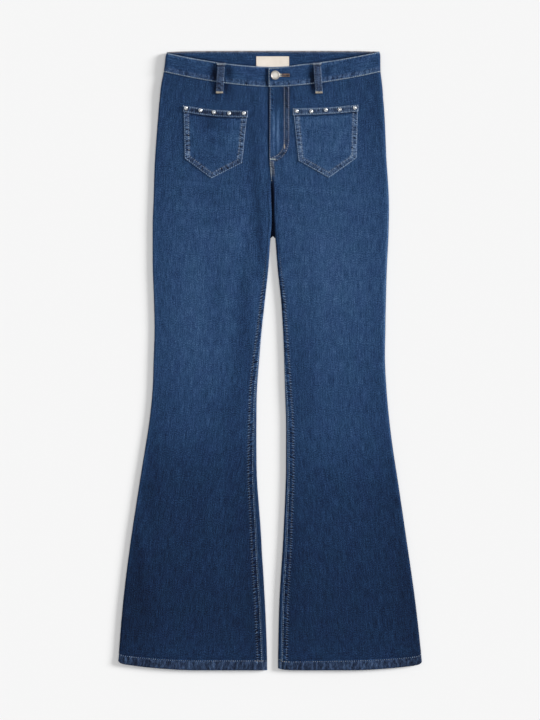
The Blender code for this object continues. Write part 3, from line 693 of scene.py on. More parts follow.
def denimMaterial():
    look = denimLook
    material, nodes, shader = newMaterial(
        "indigo denim", look["roughness"], specular=look["specular"], sheen=look["sheen"]
    )
    times, plus, mark = nodes.times, nodes.plus, nodes.mark
    shader["Sheen Tint"].default_value = paint(look["sheenTint"])
    uv = nodes.add("ShaderNodeUVMap", uv_map="cloth")["UV"]
    place = nodes.add("ShaderNodeVectorMath", {0: uv, "Scale": 1 / mm}, operation="SCALE")[0]
    part = {
        word: nodes.noise(place, (across, along, 0), detail, roughness)
        for word, (across, along, detail, roughness) in look["noises"].items()
    }
    part["crumple"] = times(part["crumple"], mark("crumple"))
    u, v, _ = nodes.add("ShaderNodeSeparateXYZ", {0: place})
    diagonal = nodes.maths("ADD", times(u, look["twill"][0]), times(v, look["twill"][1]))
    part["twill"] = nodes.maths("SINE", diagonal)
    turn = plus(mark("turn"), part["wander"], look["puckerWander"])
    wave = nodes.maths("MAXIMUM", nodes.maths("SINE", times(turn, math.tau)), 0.0)
    level, depth = look["dent"]
    part["pucker"] = times(plus(level, nodes.maths("POWER", wave, 2.0), depth), mark("pucker"))
    bySeam = nodes.joined(mark("turn"), u, v)
    part["ruck"] = times(nodes.noise(bySeam, *look["ruckNoise"]), mark("ruck"))
    uneven = nodes.maths("ADD", times(part["grain"], 2.2), 0.9, clamp=True)
    part["wear"] = times(mark("wear"), uneven)
    part["edge"] = times(nodes.near(mark("edgeGap"), look["edgeWidth"]), uneven)
    part["groove"] = nodes.near(mark("stitchGap"), look["grooveWidth"])
    part["inside"] = mark("inside")
    tone = mark("tone")
    vigour = plus(look["vigour"][0], tone, look["vigour"][1])
    for word, share in look["weave"].items():
        tone = plus(tone, times(part[word], share), vigour)
    for word, share in look["worn"].items():
        tone = plus(tone, part[word], share)
    ramp = nodes.add("ShaderNodeValToRGB", {"Fac": tone})
    stops = ramp[0].node.color_ramp.elements
    while len(stops) < len(look["ramp"]):
        stops.new(0.5)
    for stop, (at, colour) in zip(stops, look["ramp"]):
        stop.position = at / look["toneScale"]
        stop.color = paint(colour)
    grey = nodes.maths("MAXIMUM", mark("faded"), times(part["edge"], look["fadedEdge"]))
    dye = {
        "Color": ramp["Color"], "Hue": plus(0.5, part["shift"], look["hue"]),
        "Saturation": plus(1.0, grey, -look["faded"]),
    }
    nodes.enter(shader["Base Color"], nodes.add("ShaderNodeHueSaturation", dye)["Color"])
    height = 0.0
    for word, share in look["height"].items():
        height = plus(height, part[word], share)
    addBump(nodes, shader, height, 0.00016, 0.8)
    return material


def threadMaterial(name, colour, worn):
    material, nodes, shader = newMaterial(name, 0.7, specular=0.3, sheen=0.1)
    place, share = nodes.place(), 0.5
    for scale, detail, strength in ((90, 2, 2.0), (260, 1, 2.4), (900, 1, 1.2)):
        share = nodes.plus(share, nodes.noise(place, (scale,) * 3, detail), strength)
    mixPaints(nodes, shader, share, colour, worn)
    addBump(nodes, shader, nodes.stripes(place, 700, "DIAGONAL", 0.5), 0.00006, 0.6)
    return material


def metalMaterial(name, colour, roughness, scratch):
    material, nodes, shader = newMaterial(name, roughness, metallic=1.0)
    cloud = nodes.noise(nodes.place(), (160,) * 3, 3.0)
    brushed = nodes.noise(nodes.place(), (3200, 500, 900), 2.0)
    dull = [channel * 0.8 for channel in colour]
    mixPaints(nodes, shader, nodes.plus(0.5, cloud, 1.6), dull, colour)
    rough = nodes.plus(nodes.plus(roughness, brushed, scratch), cloud, 0.25, clamp=True)
    nodes.enter(shader["Roughness"], rough)
    addBump(nodes, shader, brushed, 0.00002, 0.5)
    return material


def labelMaterial():
    material, nodes, shader = newMaterial("woven cream label", 0.75, specular=0.3, sheen=0.15)
    flecks, stains = (nodes.noise(nodes.place(), (scale,) * 3, 2.0) for scale in (700, 60))
    share = nodes.plus(nodes.plus(0.5, stains, 0.8), flecks, 0.9)
    mixPaints(nodes, shader, share, (219, 208, 195), (243, 233, 222))
    ribs = nodes.stripes(nodes.place(), 430, "Y")
    addBump(nodes, shader, nodes.maths("ADD", ribs, flecks), 0.00008, 0.5)
    return material


def tapeMaterial():
    material, nodes, shader = newMaterial("navy zip tape", 0.8, specular=0.25)
    rows = nodes.stripes(nodes.place(), 420, "X")
    mixPaints(nodes, shader, rows, (24, 31, 46), (42, 52, 72))
    addBump(nodes, shader, rows, 0.0001, 0.5)
    return material


denim = denimMaterial()
threads = {
    # colour, and colour where it is worn
    "pale": threadMaterial("washed pale thread", (104, 130, 162), (148, 172, 200)),
    "tan": threadMaterial("pale grey thread", (130, 146, 154), (186, 196, 198)),
    "brown": threadMaterial("brown thread", (124, 94, 78), (170, 134, 110)),
    "gold": threadMaterial("sand thread", (136, 128, 116), (190, 182, 168)),
    "rust": threadMaterial("rust brown thread", (100, 84, 76), (154, 126, 108)),
    "blue": threadMaterial("faded blue thread", (54, 70, 98), (98, 114, 136)),
    "grey": threadMaterial("worn grey thread", (92, 108, 132), (162, 172, 184)),
    "taupe": threadMaterial("light grey thread", (132, 146, 174), (200, 210, 226)),
    "cream": threadMaterial("cream thread", (196, 186, 166), (222, 214, 198)),
}
silver = metalMaterial("silver button metal", (206, 202, 196), 0.46, 0.10)
studMetal = metalMaterial("polished stud metal", (240, 244, 248), 0.22, 0.06)
zipMetal = metalMaterial("dark zip metal", (150, 140, 122), 0.35, 0.10)
cream = labelMaterial()
navyTape = tapeMaterial()
print("materials made")


# How light the denim is: its wash, with painted light and shade along some of the legs' edges and in
# some zones; tones are the mean of the three channels, from 0 to 255
washAndShade = {
    "down": (
        # Y, tone of the left and of the right leg's middle
        (520, 61, 65), (480, 61, 65), (430, 62, 66), (370, 65, 71), (320, 69, 73), (240, 73, 76),
        (150, 74, 77), (70, 74, 75), (10, 73, 72), (-40, 69, 70), (-90, 65, 67), (-130, 62, 66),
        (-170, 54, 61), (-220, 49, 54), (-300, 46, 50), (-400, 42.5, 45.5), (-490, 44, 45),
        (-548, 48, 48),
    ),
    "rims": (
        # Y, what the left and right legs' outer edges add, and their inner edges: paler folded edges,
        # in part painted light against the shade of their rounding
        (548, 14, 18, 0, 0), (350, 9, 18, 0, 0), (270, 11, 28, 0, -12), (200, 13, 30, 0, -22),
        (110, 13, 30, -6, -24), (30, 11, 30, 0, -10), (-60, 10, 22, 0, 0), (-120, 19, 16, 0, 0),
        (-300, 18, 14, 0, 0), (-400, 8, 8, 0, 0), (-450, 0, 0, 0, 0), (-548, 0, 0, 0, 0),
    ),
    "rimReach": 4.6,
    "outerDrop": 7,
    "outerReach": 40,
    "innerDrop": 5,
    "innerReach": 34,
    "zones": (
        # X, Y, degrees from upright, half length, half width, tone added
        (-26, 300, 2, 110, 9, -11), (-50, 60, -3, 90, 14, -8), (-60, -30, -4, 80, 18, -5),
        (52, 40, 4, 90, 14, -6), (54, -50, 2, 70, 16, -5), (-134, 60, 0, 150, 22, 3),
        (-96, 120, 2, 60, 12, -4), (-70, 282, 80, 50, 40, -3), (84, 262, 90, 60, 50, -2),
        (-104, 270, 0, 40, 16, -3), (106, 190, 0, 130, 26, 2), (-17, 212, 1, 66, 6, -14),
        (-36, 10, 3, 66, 9, -9), (-225, -430, 6, 110, 24, -5), (-90, -250, 0, 60, 18, 4),
        (-60, 236, 0, 30, 30, 3), (34, -130, -2, 50, 7, -4), (-74, -100, 0, 50, 24, -5),
        (-53, 140, -3, 40, 10, -6), (-85, -370, 0, 40, 34, 4), (53, -243, 0, 50, 10, 4),
        (-226, -270, 8, 100, 10, 9), (-248, -350, 8, 60, 9, 5), (-182, 430, 0, 100, 13, 6),
        (74, 0, 0, 150, 7, -4), (30, 20, 2, 120, 9, -4), (-46, 90, -3, 90, 12, -3),
        (-222, -538, 90, 14, 12, -12), (184, -538, 90, 18, 12, 10), (-8, -538, 90, 12, 12, 12),
        (30, -538, 90, 12, 12, 7), (-222, -172, 8, 26, 6, 12), (76, 124, 0, 46, 8, -3),
        (-95, 60, 0, 50, 9, -4),
    ),
    "sideZones": {
        left: (
            (-2.6, 385, 0, 45, 1.4, -34.0),  # the shadow along the fly's edge
            (-2.6, 455, 0, 45, 1.4, -34),
            (-97, 482, 0, 13, 6, -36.0),  # and painted shadows beside the belt loops
            (-78, 487, 0, 15, 4, -28), (-72, 484, 0, 10, 9, -14),
        ),
        right: (
            (6.8, 412, 0, 34, 1.8, 42.0),  # rubbed pale over the zip
            (14, 408, 0, 38, 1.9, 35), (10.4, 400, 0, 44, 1.6, -8), (22, 470, 0, 18, 16, -13),
            (32, 480, 0, 12, 10, -10), (11, 451, 0, 12, 8, -8), (11, 394, 0, 12, 8, 8),
            (11, 338, 0, 10, 8, -7), (20, 390, 0, 50, 3.4, -8), (3.2, 341, 0, 12, 3, 12),
            (5.4, 305, 1, 30, 1.8, -56.0),  # painted shade in the parting below the crotch, then painted shadows beside the right belt loop
            (5.8, 262, -1, 34, 1.6, -54), (7, 236, -8, 12, 1.7, -40), (77, 487, 0, 13, 6, -44),
            (95, 490, 0, 10, 4, -22),
        ),
    },
    "whiskers": (
        # faint bars across the hips and the crotch
        (-110, 312, 87, 70, 3.2, 5), (-84, 296, 94, 60, 3, -4), (-60, 276, 100, 54, 3.4, 5),
        (-128, 268, 85, 60, 3, 4), (-76, 252, 104, 50, 3.2, -4), (-44, 232, 110, 36, 3, 4),
        (84, 300, 84, 60, 3.2, 5), (60, 282, 78, 50, 3, -4), (124, 280, 93, 66, 3.2, 4),
        (66, 258, 74, 48, 3.4, 5), (140, 250, 95, 50, 3, -3), (48, 236, 68, 34, 3, 4),
    ),
    "backDown": (
        (520, 66, 66), (440, 72, 72), (330, 80, 80), (200, 76, 76), (60, 72, 72), (-80, 66, 66),
        (-180, 58, 58), (-320, 54, 54), (-548, 50, 50),
    ),
}
farAway = 99.0


def washAndShadeTone(x, y, side, down):
    column = 1 if side == left else 2
    fromOuter, fromInner = fromEdges(x, y, side)
    tone = readTable(washAndShade[down], y, column)
    tone = tone - washAndShade["outerDrop"] * bell(fromOuter, washAndShade["outerReach"])
    tone = tone - washAndShade["innerDrop"] * bell(fromInner, washAndShade["innerReach"]) * legness(y)
    if down == "down":
        for away, at in ((fromOuter, column), (fromInner, column + 2)):
            tone = tone + readTable(washAndShade["rims"], y, at) * bell(away, washAndShade["rimReach"])
        tone = tone + creases(x, y, washAndShade["zones"]) + creases(x, y, washAndShade["whiskers"])
        tone = tone + creases(x, y, washAndShade["sideZones"][side])
    return tone


def toneMark(tone):
    return tone / denimLook["toneScale"]


# The front: two legs in one surface at the seat, with the fly at the centre
panels = {
    "head": (0, 0.5, 1.2, 2, 3, 4.2, 5.6, 7.2, 9),
    "fineTail": (9, 7.8, 6.8, 5.8, 4.8, 3.9, 3, 2.2, 1.5, 1, 0.5, 0),
    "frontMiddle": 72,
    "backMiddle": 44,
    "hemRows": (
        0, 0.5, 1.2, 2.2, 3.4, 4.8, 6.2, 7.6, 9, 10.4, 11.6, 12.6, 13.4, 14.2, 15.2, 16.4,
        18, 20, 22.5,
    ),
    "frontStep": 2.95,
    "backStep": 4.6,
    "inseamRow": 8.2,  # the inseam's inner stitch row, from the seam
    "inseamEdge": 1.4,
    "seamShown": (190, 120),  # where the inseam comes out of the fold
    "pucker": 4.8,  # spacing of the felled seam's puckers
    "hemPucker": -0.45,
    "rowPucker": {left: -2, right: -1.8},
    "seamWear": ((548, 0), (190, 0), (110, 0.3), (20, 0.45), (-150, 0.36), (-220, 0.22), (-548, 0.2)),
    "yokeRow": 7,
    "backPucker": 6.5,
    "partingShade": 7.5,  # how dark the painted shade on the backs' inner faces is where the fronts part
}
frontTail = (*np.arange(40, 9.5, -1.5), *panels["fineTail"])
frontColumns = spread(panels["head"], panels["frontMiddle"], frontTail)
backColumns = spread(panels["head"], panels["backMiddle"], panels["fineTail"])


def panelRows(top, step):
    up = np.arange(panels["hemRows"][-1] + step, top - hem["end"] - step * 0.7, step)
    rows = hem["end"] + np.concatenate([panels["hemRows"], up])
    return np.concatenate([rows, [top - 0.6, top]])


def flyStitchGap(x, y, size):
    # distance to one row of the fly's curved stitching
    outX, downY = size
    straight = np.abs(x - fly["stitchEnd"] - outX)
    turned = np.hypot((x - fly["stitchEnd"]) / outX, (y - fly["stitchTurn"]) / downY)
    turned = np.abs(turned - 1) * (outX + downY) / 2
    return np.where(y > fly["stitchTurn"], straight, np.where(x < -1, farAway, turned))


def flyRise(x, y):
    # the fly's layers, its zip and its stitching, over the right front
    inside = np.hypot((x - fly["stitchEnd"]) / fly["stitchOuter"][0],
                      np.minimum(y - fly["stitchTurn"], 0) / fly["stitchOuter"][1])
    layers = ease((1.02 - inside) / 0.08) * ease((y - fly["foot"] + 1) / 3)
    rise = 0.22 * layers
    teeth = bell(x - 7, 2.6) + 0.8 * bell(x - 14.4, 3.0)
    rise = rise + 0.20 * teeth * layers * (0.8 + 0.3 * ripple(y, 21, 1.3))
    band = bell(flyStitchGap(x, y, fly["stitchOuter"]) + flyStitchGap(x, y, fly["stitchInner"]) - 7, 3)
    rise = rise + 0.12 * band * ripple(y + 0.6 * x, 6.5, 2.0)
    gap = np.minimum(flyStitchGap(x, y, fly["stitchOuter"]), flyStitchGap(x, y, fly["stitchInner"]))
    rise = rise - 0.18 * bell(gap, 0.9)
    seat = ease((fly["foot"] + 2 - y) / 3) * ease((y - 318) / 10)
    rise = rise + seat * 0.3 * ease((9 - (x - centre(y))) / 2) * (0.8 + 0.4 * ripple(y, 5.5, 0.4))
    return rise


def stitchPlace(fromInner, side):
    # how far over the hem's end its stitching runs
    return hem["stitchUp"] - hem["stitchDrop"][side] * bell(fromInner, hem["dropReach"])


def frontDetail(row, y, s, x, side, length):
    # rise over the plain form, and the marks that the denim's finish reads
    up, fromSeam = row - hem["end"], length - s
    fromOuter, fromInner = fromEdges(x, row, side)
    stitchUp = stitchPlace(fromInner, side)
    phase = 0.7 if side == left else 2.9
    onLeg = legness(y)
    rope = ripple(side * x + 0.12 * up, hem["rippleSpacing"], phase)
    inHem = ease(up / 1.6) * ease((stitchUp - up) / 2.4)
    inside = ease(fromOuter / hem["edge"]) * ease(fromInner / hem["edge"])
    rise = hem["rise"] * hemShare(row) * inside + hem["ripple"] * rope * inHem
    rise = rise + 0.16 * rope * bell(up - stitchUp - 5, 5)
    stitchGap = np.abs(up - stitchUp)
    rise = rise - 0.28 * bell(stitchGap, 1.0)
    shownFrom, shownTo = panels["seamShown"]
    shown = ease((shownFrom - y) / (shownFrom - shownTo))
    felled = ease((panels["inseamRow"] + 1.2 - fromSeam) / 1.6) * onLeg
    rise = rise + felled * (0.24 + 0.1 * ripple(y + 0.5 * fromSeam, 13, phase)) * ease((up - 14) / 3)
    seamGaps = nearer(fromSeam - panels["inseamRow"], fromSeam - panels["inseamEdge"])
    seamGaps = np.where(onLeg > 0.5, seamGaps, farAway)
    rise = rise - 0.18 * bell(seamGaps, 0.9)
    stitchGap = np.minimum(stitchGap, seamGaps)
    rise = rise + 0.12 * ripple(y, 13, phase) * ease((7 - s) / 4)
    edgeGap = up + 1.1
    wear = inHem * (0.10 + 0.09 * rope) - 0.12 * bell(up - 0.4, 1.5)
    # the hem's stitch row worn pale, with a painted shadow line just over it
    wear = wear + 0.34 * bell(up - stitchUp, 1.9) - 0.16 * bell(up - stitchUp - 3.4, 1.5)
    onSeam = shown * ease((up - 12) / 3)
    wear = wear + readTable(panels["seamWear"], y, 1) * bell(fromSeam - 1.1, 1.1) * onLeg
    wear = wear - 0.18 * bell(fromSeam - 4.2, 2.2) * onSeam
    atRow = bell(fromSeam - panels["inseamRow"] - 0.7, 2.2) * onSeam
    wear = wear + 0.06 * atRow
    pucker = atRow * panels["rowPucker"][side] + inHem * panels["hemPucker"]
    ruck = np.maximum(felled * 0.9 * onSeam + 0.5 * atRow, 0.45 * inHem)
    slant = (y + 0.25 * fromSeam) / panels["pucker"]
    turn = np.where(up < stitchUp + 1, side * x / hem["rippleSpacing"], slant)
    faded = np.maximum(0.3 * atRow, 0.5 * inHem)
    if side == right:
        rise = rise + flyRise(x, y)
        atFly = (y > fly["foot"] - 30) & (y < fly["top"] + 4)
        fromEdge = np.where(atFly, x - centre(y) - 0.15, farAway)
        edgeGap = np.minimum(edgeGap, fromEdge)
        rows = [np.abs(fromEdge - 1.3)]
        curved = [flyStitchGap(x, y, fly[word]) for word in ("stitchOuter", "stitchInner")]
        stitchGap = np.minimum(stitchGap, np.where(atFly, np.minimum.reduce(rows + curved), farAway))
        sewn = bell(curved[0] + curved[1] - 7.6, 2.6) * atFly
        atEdge = bell(fromEdge - 4.5, 3.2) * ease((y - 418) / 20)
        block = ease((fly["foot"] + 2 - y) / 3) * ease((y - 322) / 12) * ease((9 - (x - centre(y))) / 2)
        wear = wear - 0.28 * sewn + 0.5 * bell(fromEdge - 1.0, 1.9)
        pucker = pucker + 0.22 * sewn + 0.6 * atEdge + 0.4 * block
        ruck = np.maximum.reduce([ruck, 0.9 * sewn, 0.9 * atEdge, 0.9 * block])
        turn = np.where(atFly, (y + 0.6 * x) / fly["puckerSpacing"], turn)
        faded = np.maximum(faded, np.maximum(0.5 * sewn, 1.6 * block))
    return rise, {
        "wear": wear, "edgeGap": edgeGap, "stitchGap": stitchGap, "pucker": pucker, "turn": turn,
        "ruck": ruck, "faded": faded, "crumple": 0.7 * bell(up - 34, 26),
    }


# The back: it lies on the surface, so its creases rise off it
def backDetail(row, y, s, x, side, length):
    up, fromSeam = row - hem["end"], length - s
    phase = 1.9 if side == left else 4.1
    rope = ripple(side * x + 0.4 * up, hem["rippleSpacing"], phase)
    inHem = ease(up / 1.6) * ease((hem["stitchUp"] - up) / 2.4)
    overYoke = row - waist["yokeSide"]
    stitchGap = nearer(up - hem["stitchUp"], overYoke + panels["yokeRow"])
    stitchGap = np.minimum(stitchGap, np.abs(overYoke + panels["inseamEdge"]))
    inSeat = (y > legs["backCrotch"]) & (side == left)
    gaps = nearer(fromSeam - panels["inseamRow"], fromSeam - panels["inseamEdge"])
    stitchGap = np.minimum(stitchGap, np.where(inSeat, gaps, farAway))
    hollow = creases(x, y, backCreases) * ease((s - 12) / 20) * ease((fromSeam - 16) / 20)
    hollow = hollow + 0.25 * bell(stitchGap, 1.1) + 0.2 * inHem * (1 - rope)
    wear = inHem * (0.14 + 0.55 * np.maximum(rope, 0)) + 0.2 * bell(up - 0.4, 1.4)
    edgeGap = np.minimum(up + 0.1, np.where(y > panels["seamShown"][0], farAway, fromSeam))
    onRows = bell(gaps - 3, 2.6) * inSeat + bell(np.abs(overYoke + 4.2), 4.0)
    return -hollow, {
        "wear": wear, "edgeGap": edgeGap, "stitchGap": stitchGap,
        "turn": np.where(inSeat & (gaps < 7), y, side * x) / panels["backPucker"],
        "pucker": 0.6 * onRows, "ruck": 0.6 * onRows, "faded": 0.6 * inHem,
    }


panelKinds = {
    # columns and form functions, how far the inner face follows the rises, and the wash
    "front": (frontColumns, frontSection, frontLength, frontRow, frontDetail, 0.5, "down"),
    "back": (backColumns, backSection, backLength, backRow, backDetail, 0.6, "backDown"),
}


def makePanel(kind, side, name, rows, node, restsOn):
    (offset, share), section, lengthOf, rowOf, detail, follow, down = panelKinds[kind]
    row = rows[:, None] + 0 * offset
    p, _ = section(row, side, offset + share * lengthOf(row, side), 0)
    y = rowOf(row, side * p, side)
    length = lengthOf(y, side)
    s = offset + share * length
    p, _ = section(y, side, s, 0)
    rise, marks = detail(row, y, s, side * p, side, length)
    wall = blend(cloth["panelWall"], cloth["hemWall"], hemShare(row))
    grids = []
    for depth in (-rise, wall - rise * follow):
        q, z = section(y, side, s, depth)
        grids.append(stacked(side * q, y, z))
    marks["tone"] = toneMark(washAndShadeTone(side * p, y, side, down))
    inside, uvAt = 1.0, 400 * (side + 1)
    if kind == "back":
        # painted shade on the back's inner face where the fronts part
        parting = ease((y - 205) / 12) * ease((395 - y) / 50) * bell(side * p - centre(y) - 1, 12)
        inside, uvAt = 1 - panels["partingShade"] * parting, 400 * (side + 4)
    made = makeWall(name, *grids, stacked(s + uvAt, y), marks, denim, inside=inside)
    declareCloth(made, grids[0], [node])
    return grids[0], rows


fronts, backs, yokes = {}, {}, {}
for side, word in sideWords.items():
    rows = panelRows(waist["side"] - cloth["seamGap"], panels["frontStep"])
    panel = ("front", side, "frontPanel" + word.capitalize(), rows)
    fronts[side] = makePanel(*panel, f"front_panel_{word}", f"back_panel_{word}")
print("fronts made")
for side, word in sideWords.items():
    rows = panelRows(waist["yokeSide"] - cloth["seamGap"] / 2, panels["backStep"])
    panel = ("back", side, "backPanel" + word.capitalize(), rows)
    backs[side] = makePanel(*panel, f"back_panel_{word}", "floor")
    low, high = waist["yokeSide"] + cloth["seamGap"] / 2, waist["side"] - cloth["seamGap"]
    rows = np.array([low, low + 0.6, *np.linspace(low + 2, high - 2, 16), high - 0.6, high])
    panel = ("back", side, "backYoke" + word.capitalize(), rows)
    yokes[side] = makePanel(*panel, f"back_yoke_{word}", "floor")
print("backs and yokes made")


# The waistband: the front halves overlap at the fastening, and the back is one strip
band = {
    "shares": np.array([0, 0.014, 0.04, 0.07, *np.linspace(0.1, 0.9, 20), 0.93, 0.96, 0.986, 1]),
    "frontColumns": spread(
        (0, 0.5, 1.2, 2.2, 3.4, 4.4, 6, 8), 66,
        (*np.arange(42, 3, -1.5), 2.2, 1.3, 0.5, 0.0),
    ),
    "backColumns": spread((0.0, 0.5, 1.5, 2.9, 4.4, 5.8, 7.2, 8.6, 11.0), 84, (2.0, 0.0)),
    "stitchIn": 1.3,  # from both of its edges
    "shade": 1.2,  # how deep the back lies in shadow just over the front's top edge
    "sideShade": 1.5,  # and more towards its ends
    "hang": 2.4,  # the overlap's free end hangs below the curve
    "hangReach": 38,
    "ride": 1.4,  # and the rest of that half rides up
    "tones": {left: 65, right: 69},
    "backTone": 61,
    "puckerSpacing": 9,
    "zones": {
        # X, Y, degrees from upright, half length, half width, tone added; most darker ones are painted
        # shadows beside the belt loops, by the overlap's end and round the button and its hole
        left: (
            (-98, 505, 0, 19, 7, -46), (-73, 510, 0, 14, 7, -34), (-178, 510, 0, 10, 9, 10),
            (-6, 500, 0, 30, 3, -30), (-46, 497, 90, 34, 4, 6), (-140, 512, 80, 34, 4, -4),
        ),
        right: (
            (75, 500, 0, 20, 6, -52), (102, 512, 0, 8, 6, -24), (8, 517, 60, 12, 4, -16),
            (27, 504.6, 90, 10, 4.6, -22), (24, 494, 90, 20, 4, 6), (170, 515, 0, 16, 12, 6),
        ),
    },
}


def bandEdges(x):
    share = 1 - waistShare(x) ** waist["curve"]
    return waist["side"] - waist["dip"] * share, waist["bandSide"] - waist["bandDip"] * share


def overlapEdges(x):
    low, high = bandEdges(x)
    high = high + band["ride"] * ease((x - 30) / 25)
    return low, high - band["hang"] * (1 - ease((x - waist["overlapEnd"]) / band["hangReach"]))


def backBandEdges(x):
    dip = np.where(x > 0, waist["backDipRight"], waist["backDip"])
    return waist["side"] + 0 * x, waist["backTop"] - dip * waistShare(x) ** waist["backCurve"]


def underlapDrop(x):
    start = waist["overlapEnd"] - 1 - waist["underlapSlope"]
    return (waist["bandTop"] - waist["underlapTop"]) * ease((x - start) / waist["underlapSlope"])


def bandGrid(side, endAt, over, columns, edges, detail):
    (offset, share), radius = columns, waist["bandRadius"]
    shares = band["shares"][:, None]
    y = np.full((len(shares), len(offset)), waist["side"])
    for _ in range(5):  # the outline and the band's curve settle together
        outer, _ = reach(y, side)
        end = endAt(y)
        length = foldLength(outer, end, radius, over)
        s = offset + share * length
        p, _ = foldAt(outer, end, radius, over, legs["waistLift"], s, 0)
        low, high = edges(side * p)
        y = blend(low, high, shares)
    rise, marks = detail(shares * (high - low), (1 - shares) * (high - low), s, length - s, side)
    if "zones" in marks:
        marks["tone"] = marks["tone"] + toneMark(creases(side * p, y, marks.pop("zones")))
    grids = []
    for depth in (-rise, cloth["bandWall"] - 0.4 * rise):
        q, z = foldAt(outer, end, radius, over, legs["waistLift"], s, depth)
        grids.append(stacked(side * q, y, z))
    return grids, s, marks


def frontBandDetail(fromLow, fromHigh, s, fromEnd, side):
    phase = 0.5 if side == left else 3.3
    stitchGap = nearer(fromLow - band["stitchIn"], fromHigh - band["stitchIn"])
    endGap = np.where(fromEnd < 40, np.abs(fromEnd - band["stitchIn"]), farAway)
    stitchGap = np.minimum(stitchGap, endGap)
    pucker = ripple(s + 0.3 * fromLow, 6.0, phase)
    allowance = ease((10.5 - fromLow) / 2.0) * ease(fromLow / 1.5)
    upper = bell(fromHigh - 4.5, 3.0)
    rise = allowance * (0.12 + 0.20 * pucker) + 0.14 * upper * ripple(s, 8.5, phase + 1)
    rise = rise + 0.10 * ripple(s, 34, phase) - 0.22 * bell(stitchGap, 0.9)
    wear = 0.06 * allowance + 0.05 * upper + 0.5 * bell(fromEnd - 0.9, 1.3)
    edgeGap = np.minimum(np.minimum(fromHigh, fromLow) * 0.5, fromEnd)
    tone = toneMark(band["tones"][side] + 3 * ripple(s, 61, phase))
    return rise, {
        "wear": wear, "edgeGap": edgeGap, "stitchGap": stitchGap, "tone": tone,
        "pucker": -0.35 * allowance - 0.2 * upper, "turn": (s + 0.3 * fromLow) / band["puckerSpacing"],
        "ruck": 0.7 * allowance + 0.5 * upper,
        "faded": 0.25 * allowance, "crumple": 0.5, "zones": band["zones"][side],
    }


def backBandDetail(fromLow, fromHigh, s, fromEnd, side):
    stitchGap = nearer(fromLow - band["stitchIn"], fromHigh - band["stitchIn"])
    rise = -0.2 * bell(stitchGap, 1.0) - 0.1 * (1 + ripple(s, 8.0, side + 2.0)) * bell(fromHigh - 5, 4)
    wear = 0.40 * bell(fromHigh, 3.2) * (1 + ripple(s, 19, side + 1.0))
    tone = toneMark(band["backTone"] + 2.5 * ripple(s, 47, side + 1.0))
    return rise, {
        "wear": wear, "edgeGap": fromHigh * 0.55, "stitchGap": stitchGap, "tone": tone,
        "faded": 2.6 * bell(fromHigh, 3),
    }


def buttonholeCutter():
    # a keyhole: a round eye for the shank and a slit away from the band's end
    x, y = button["centre"]
    half, eye = button["slit"] / 2, button["eye"]
    start = math.asin(half / eye)
    angles = np.linspace(start, math.tau - start, 25)
    outlineX = np.concatenate([[button["slitEnd"]], x + eye * np.cos(angles), [button["slitEnd"]]])
    outlineY = np.concatenate([[y + half], y + eye * np.sin(angles), [y - half]])
    count = len(outlineX)
    low = stacked(outlineX, outlineY, waist["bandTop"] - button["cutBelow"])
    high = low + (0, 0, button["cutTall"])
    faces = [tuple(range(count))[::-1], tuple(range(count, 2 * count))]
    faces += [(n, (n + 1) % count, (n + 1) % count + count, n + count) for n in range(count)]
    return plainObject("buttonholeCutter", [*low, *high], faces=faces)


def bakeModifiers(piece):
    # the evaluated result becomes the piece's own plain mesh
    graph = bpy.context.evaluated_depsgraph_get()
    mesh = bpy.data.meshes.new_from_object(piece.evaluated_get(graph))
    piece.modifiers.clear()
    old, piece.data = piece.data, mesh
    mesh.name = piece.name
    bpy.data.meshes.remove(old)


button = {
    "centre": (9.3, 504.7),
    "capScale": 0.96,
    "eye": 3.25,
    "slit": 1.8,
    "slitEnd": 33,
    "cutBelow": 4,  # where the cut through the band starts, and how tall it is
    "cutTall": 7,
    "sides": 96,
    "profile": (
        # radius and height over the cap's underside, from the shank up and over
        (6.4, 0), (7.4, 0.15), (8.1, 0.6), (8.45, 1.2), (8.5, 1.7), (8.3, 2.3), (7.9, 2.75),
        (7.4, 2.95), (6.9, 2.9), (6.5, 2.65), (6.25, 2.35), (5.6, 2.25), (5.2, 2.3), (4.9, 2.42),
        (4.6, 2.3), (4.2, 2.22), (3, 2.26), (1.6, 2.32), (0, 2.34),
    ),
}


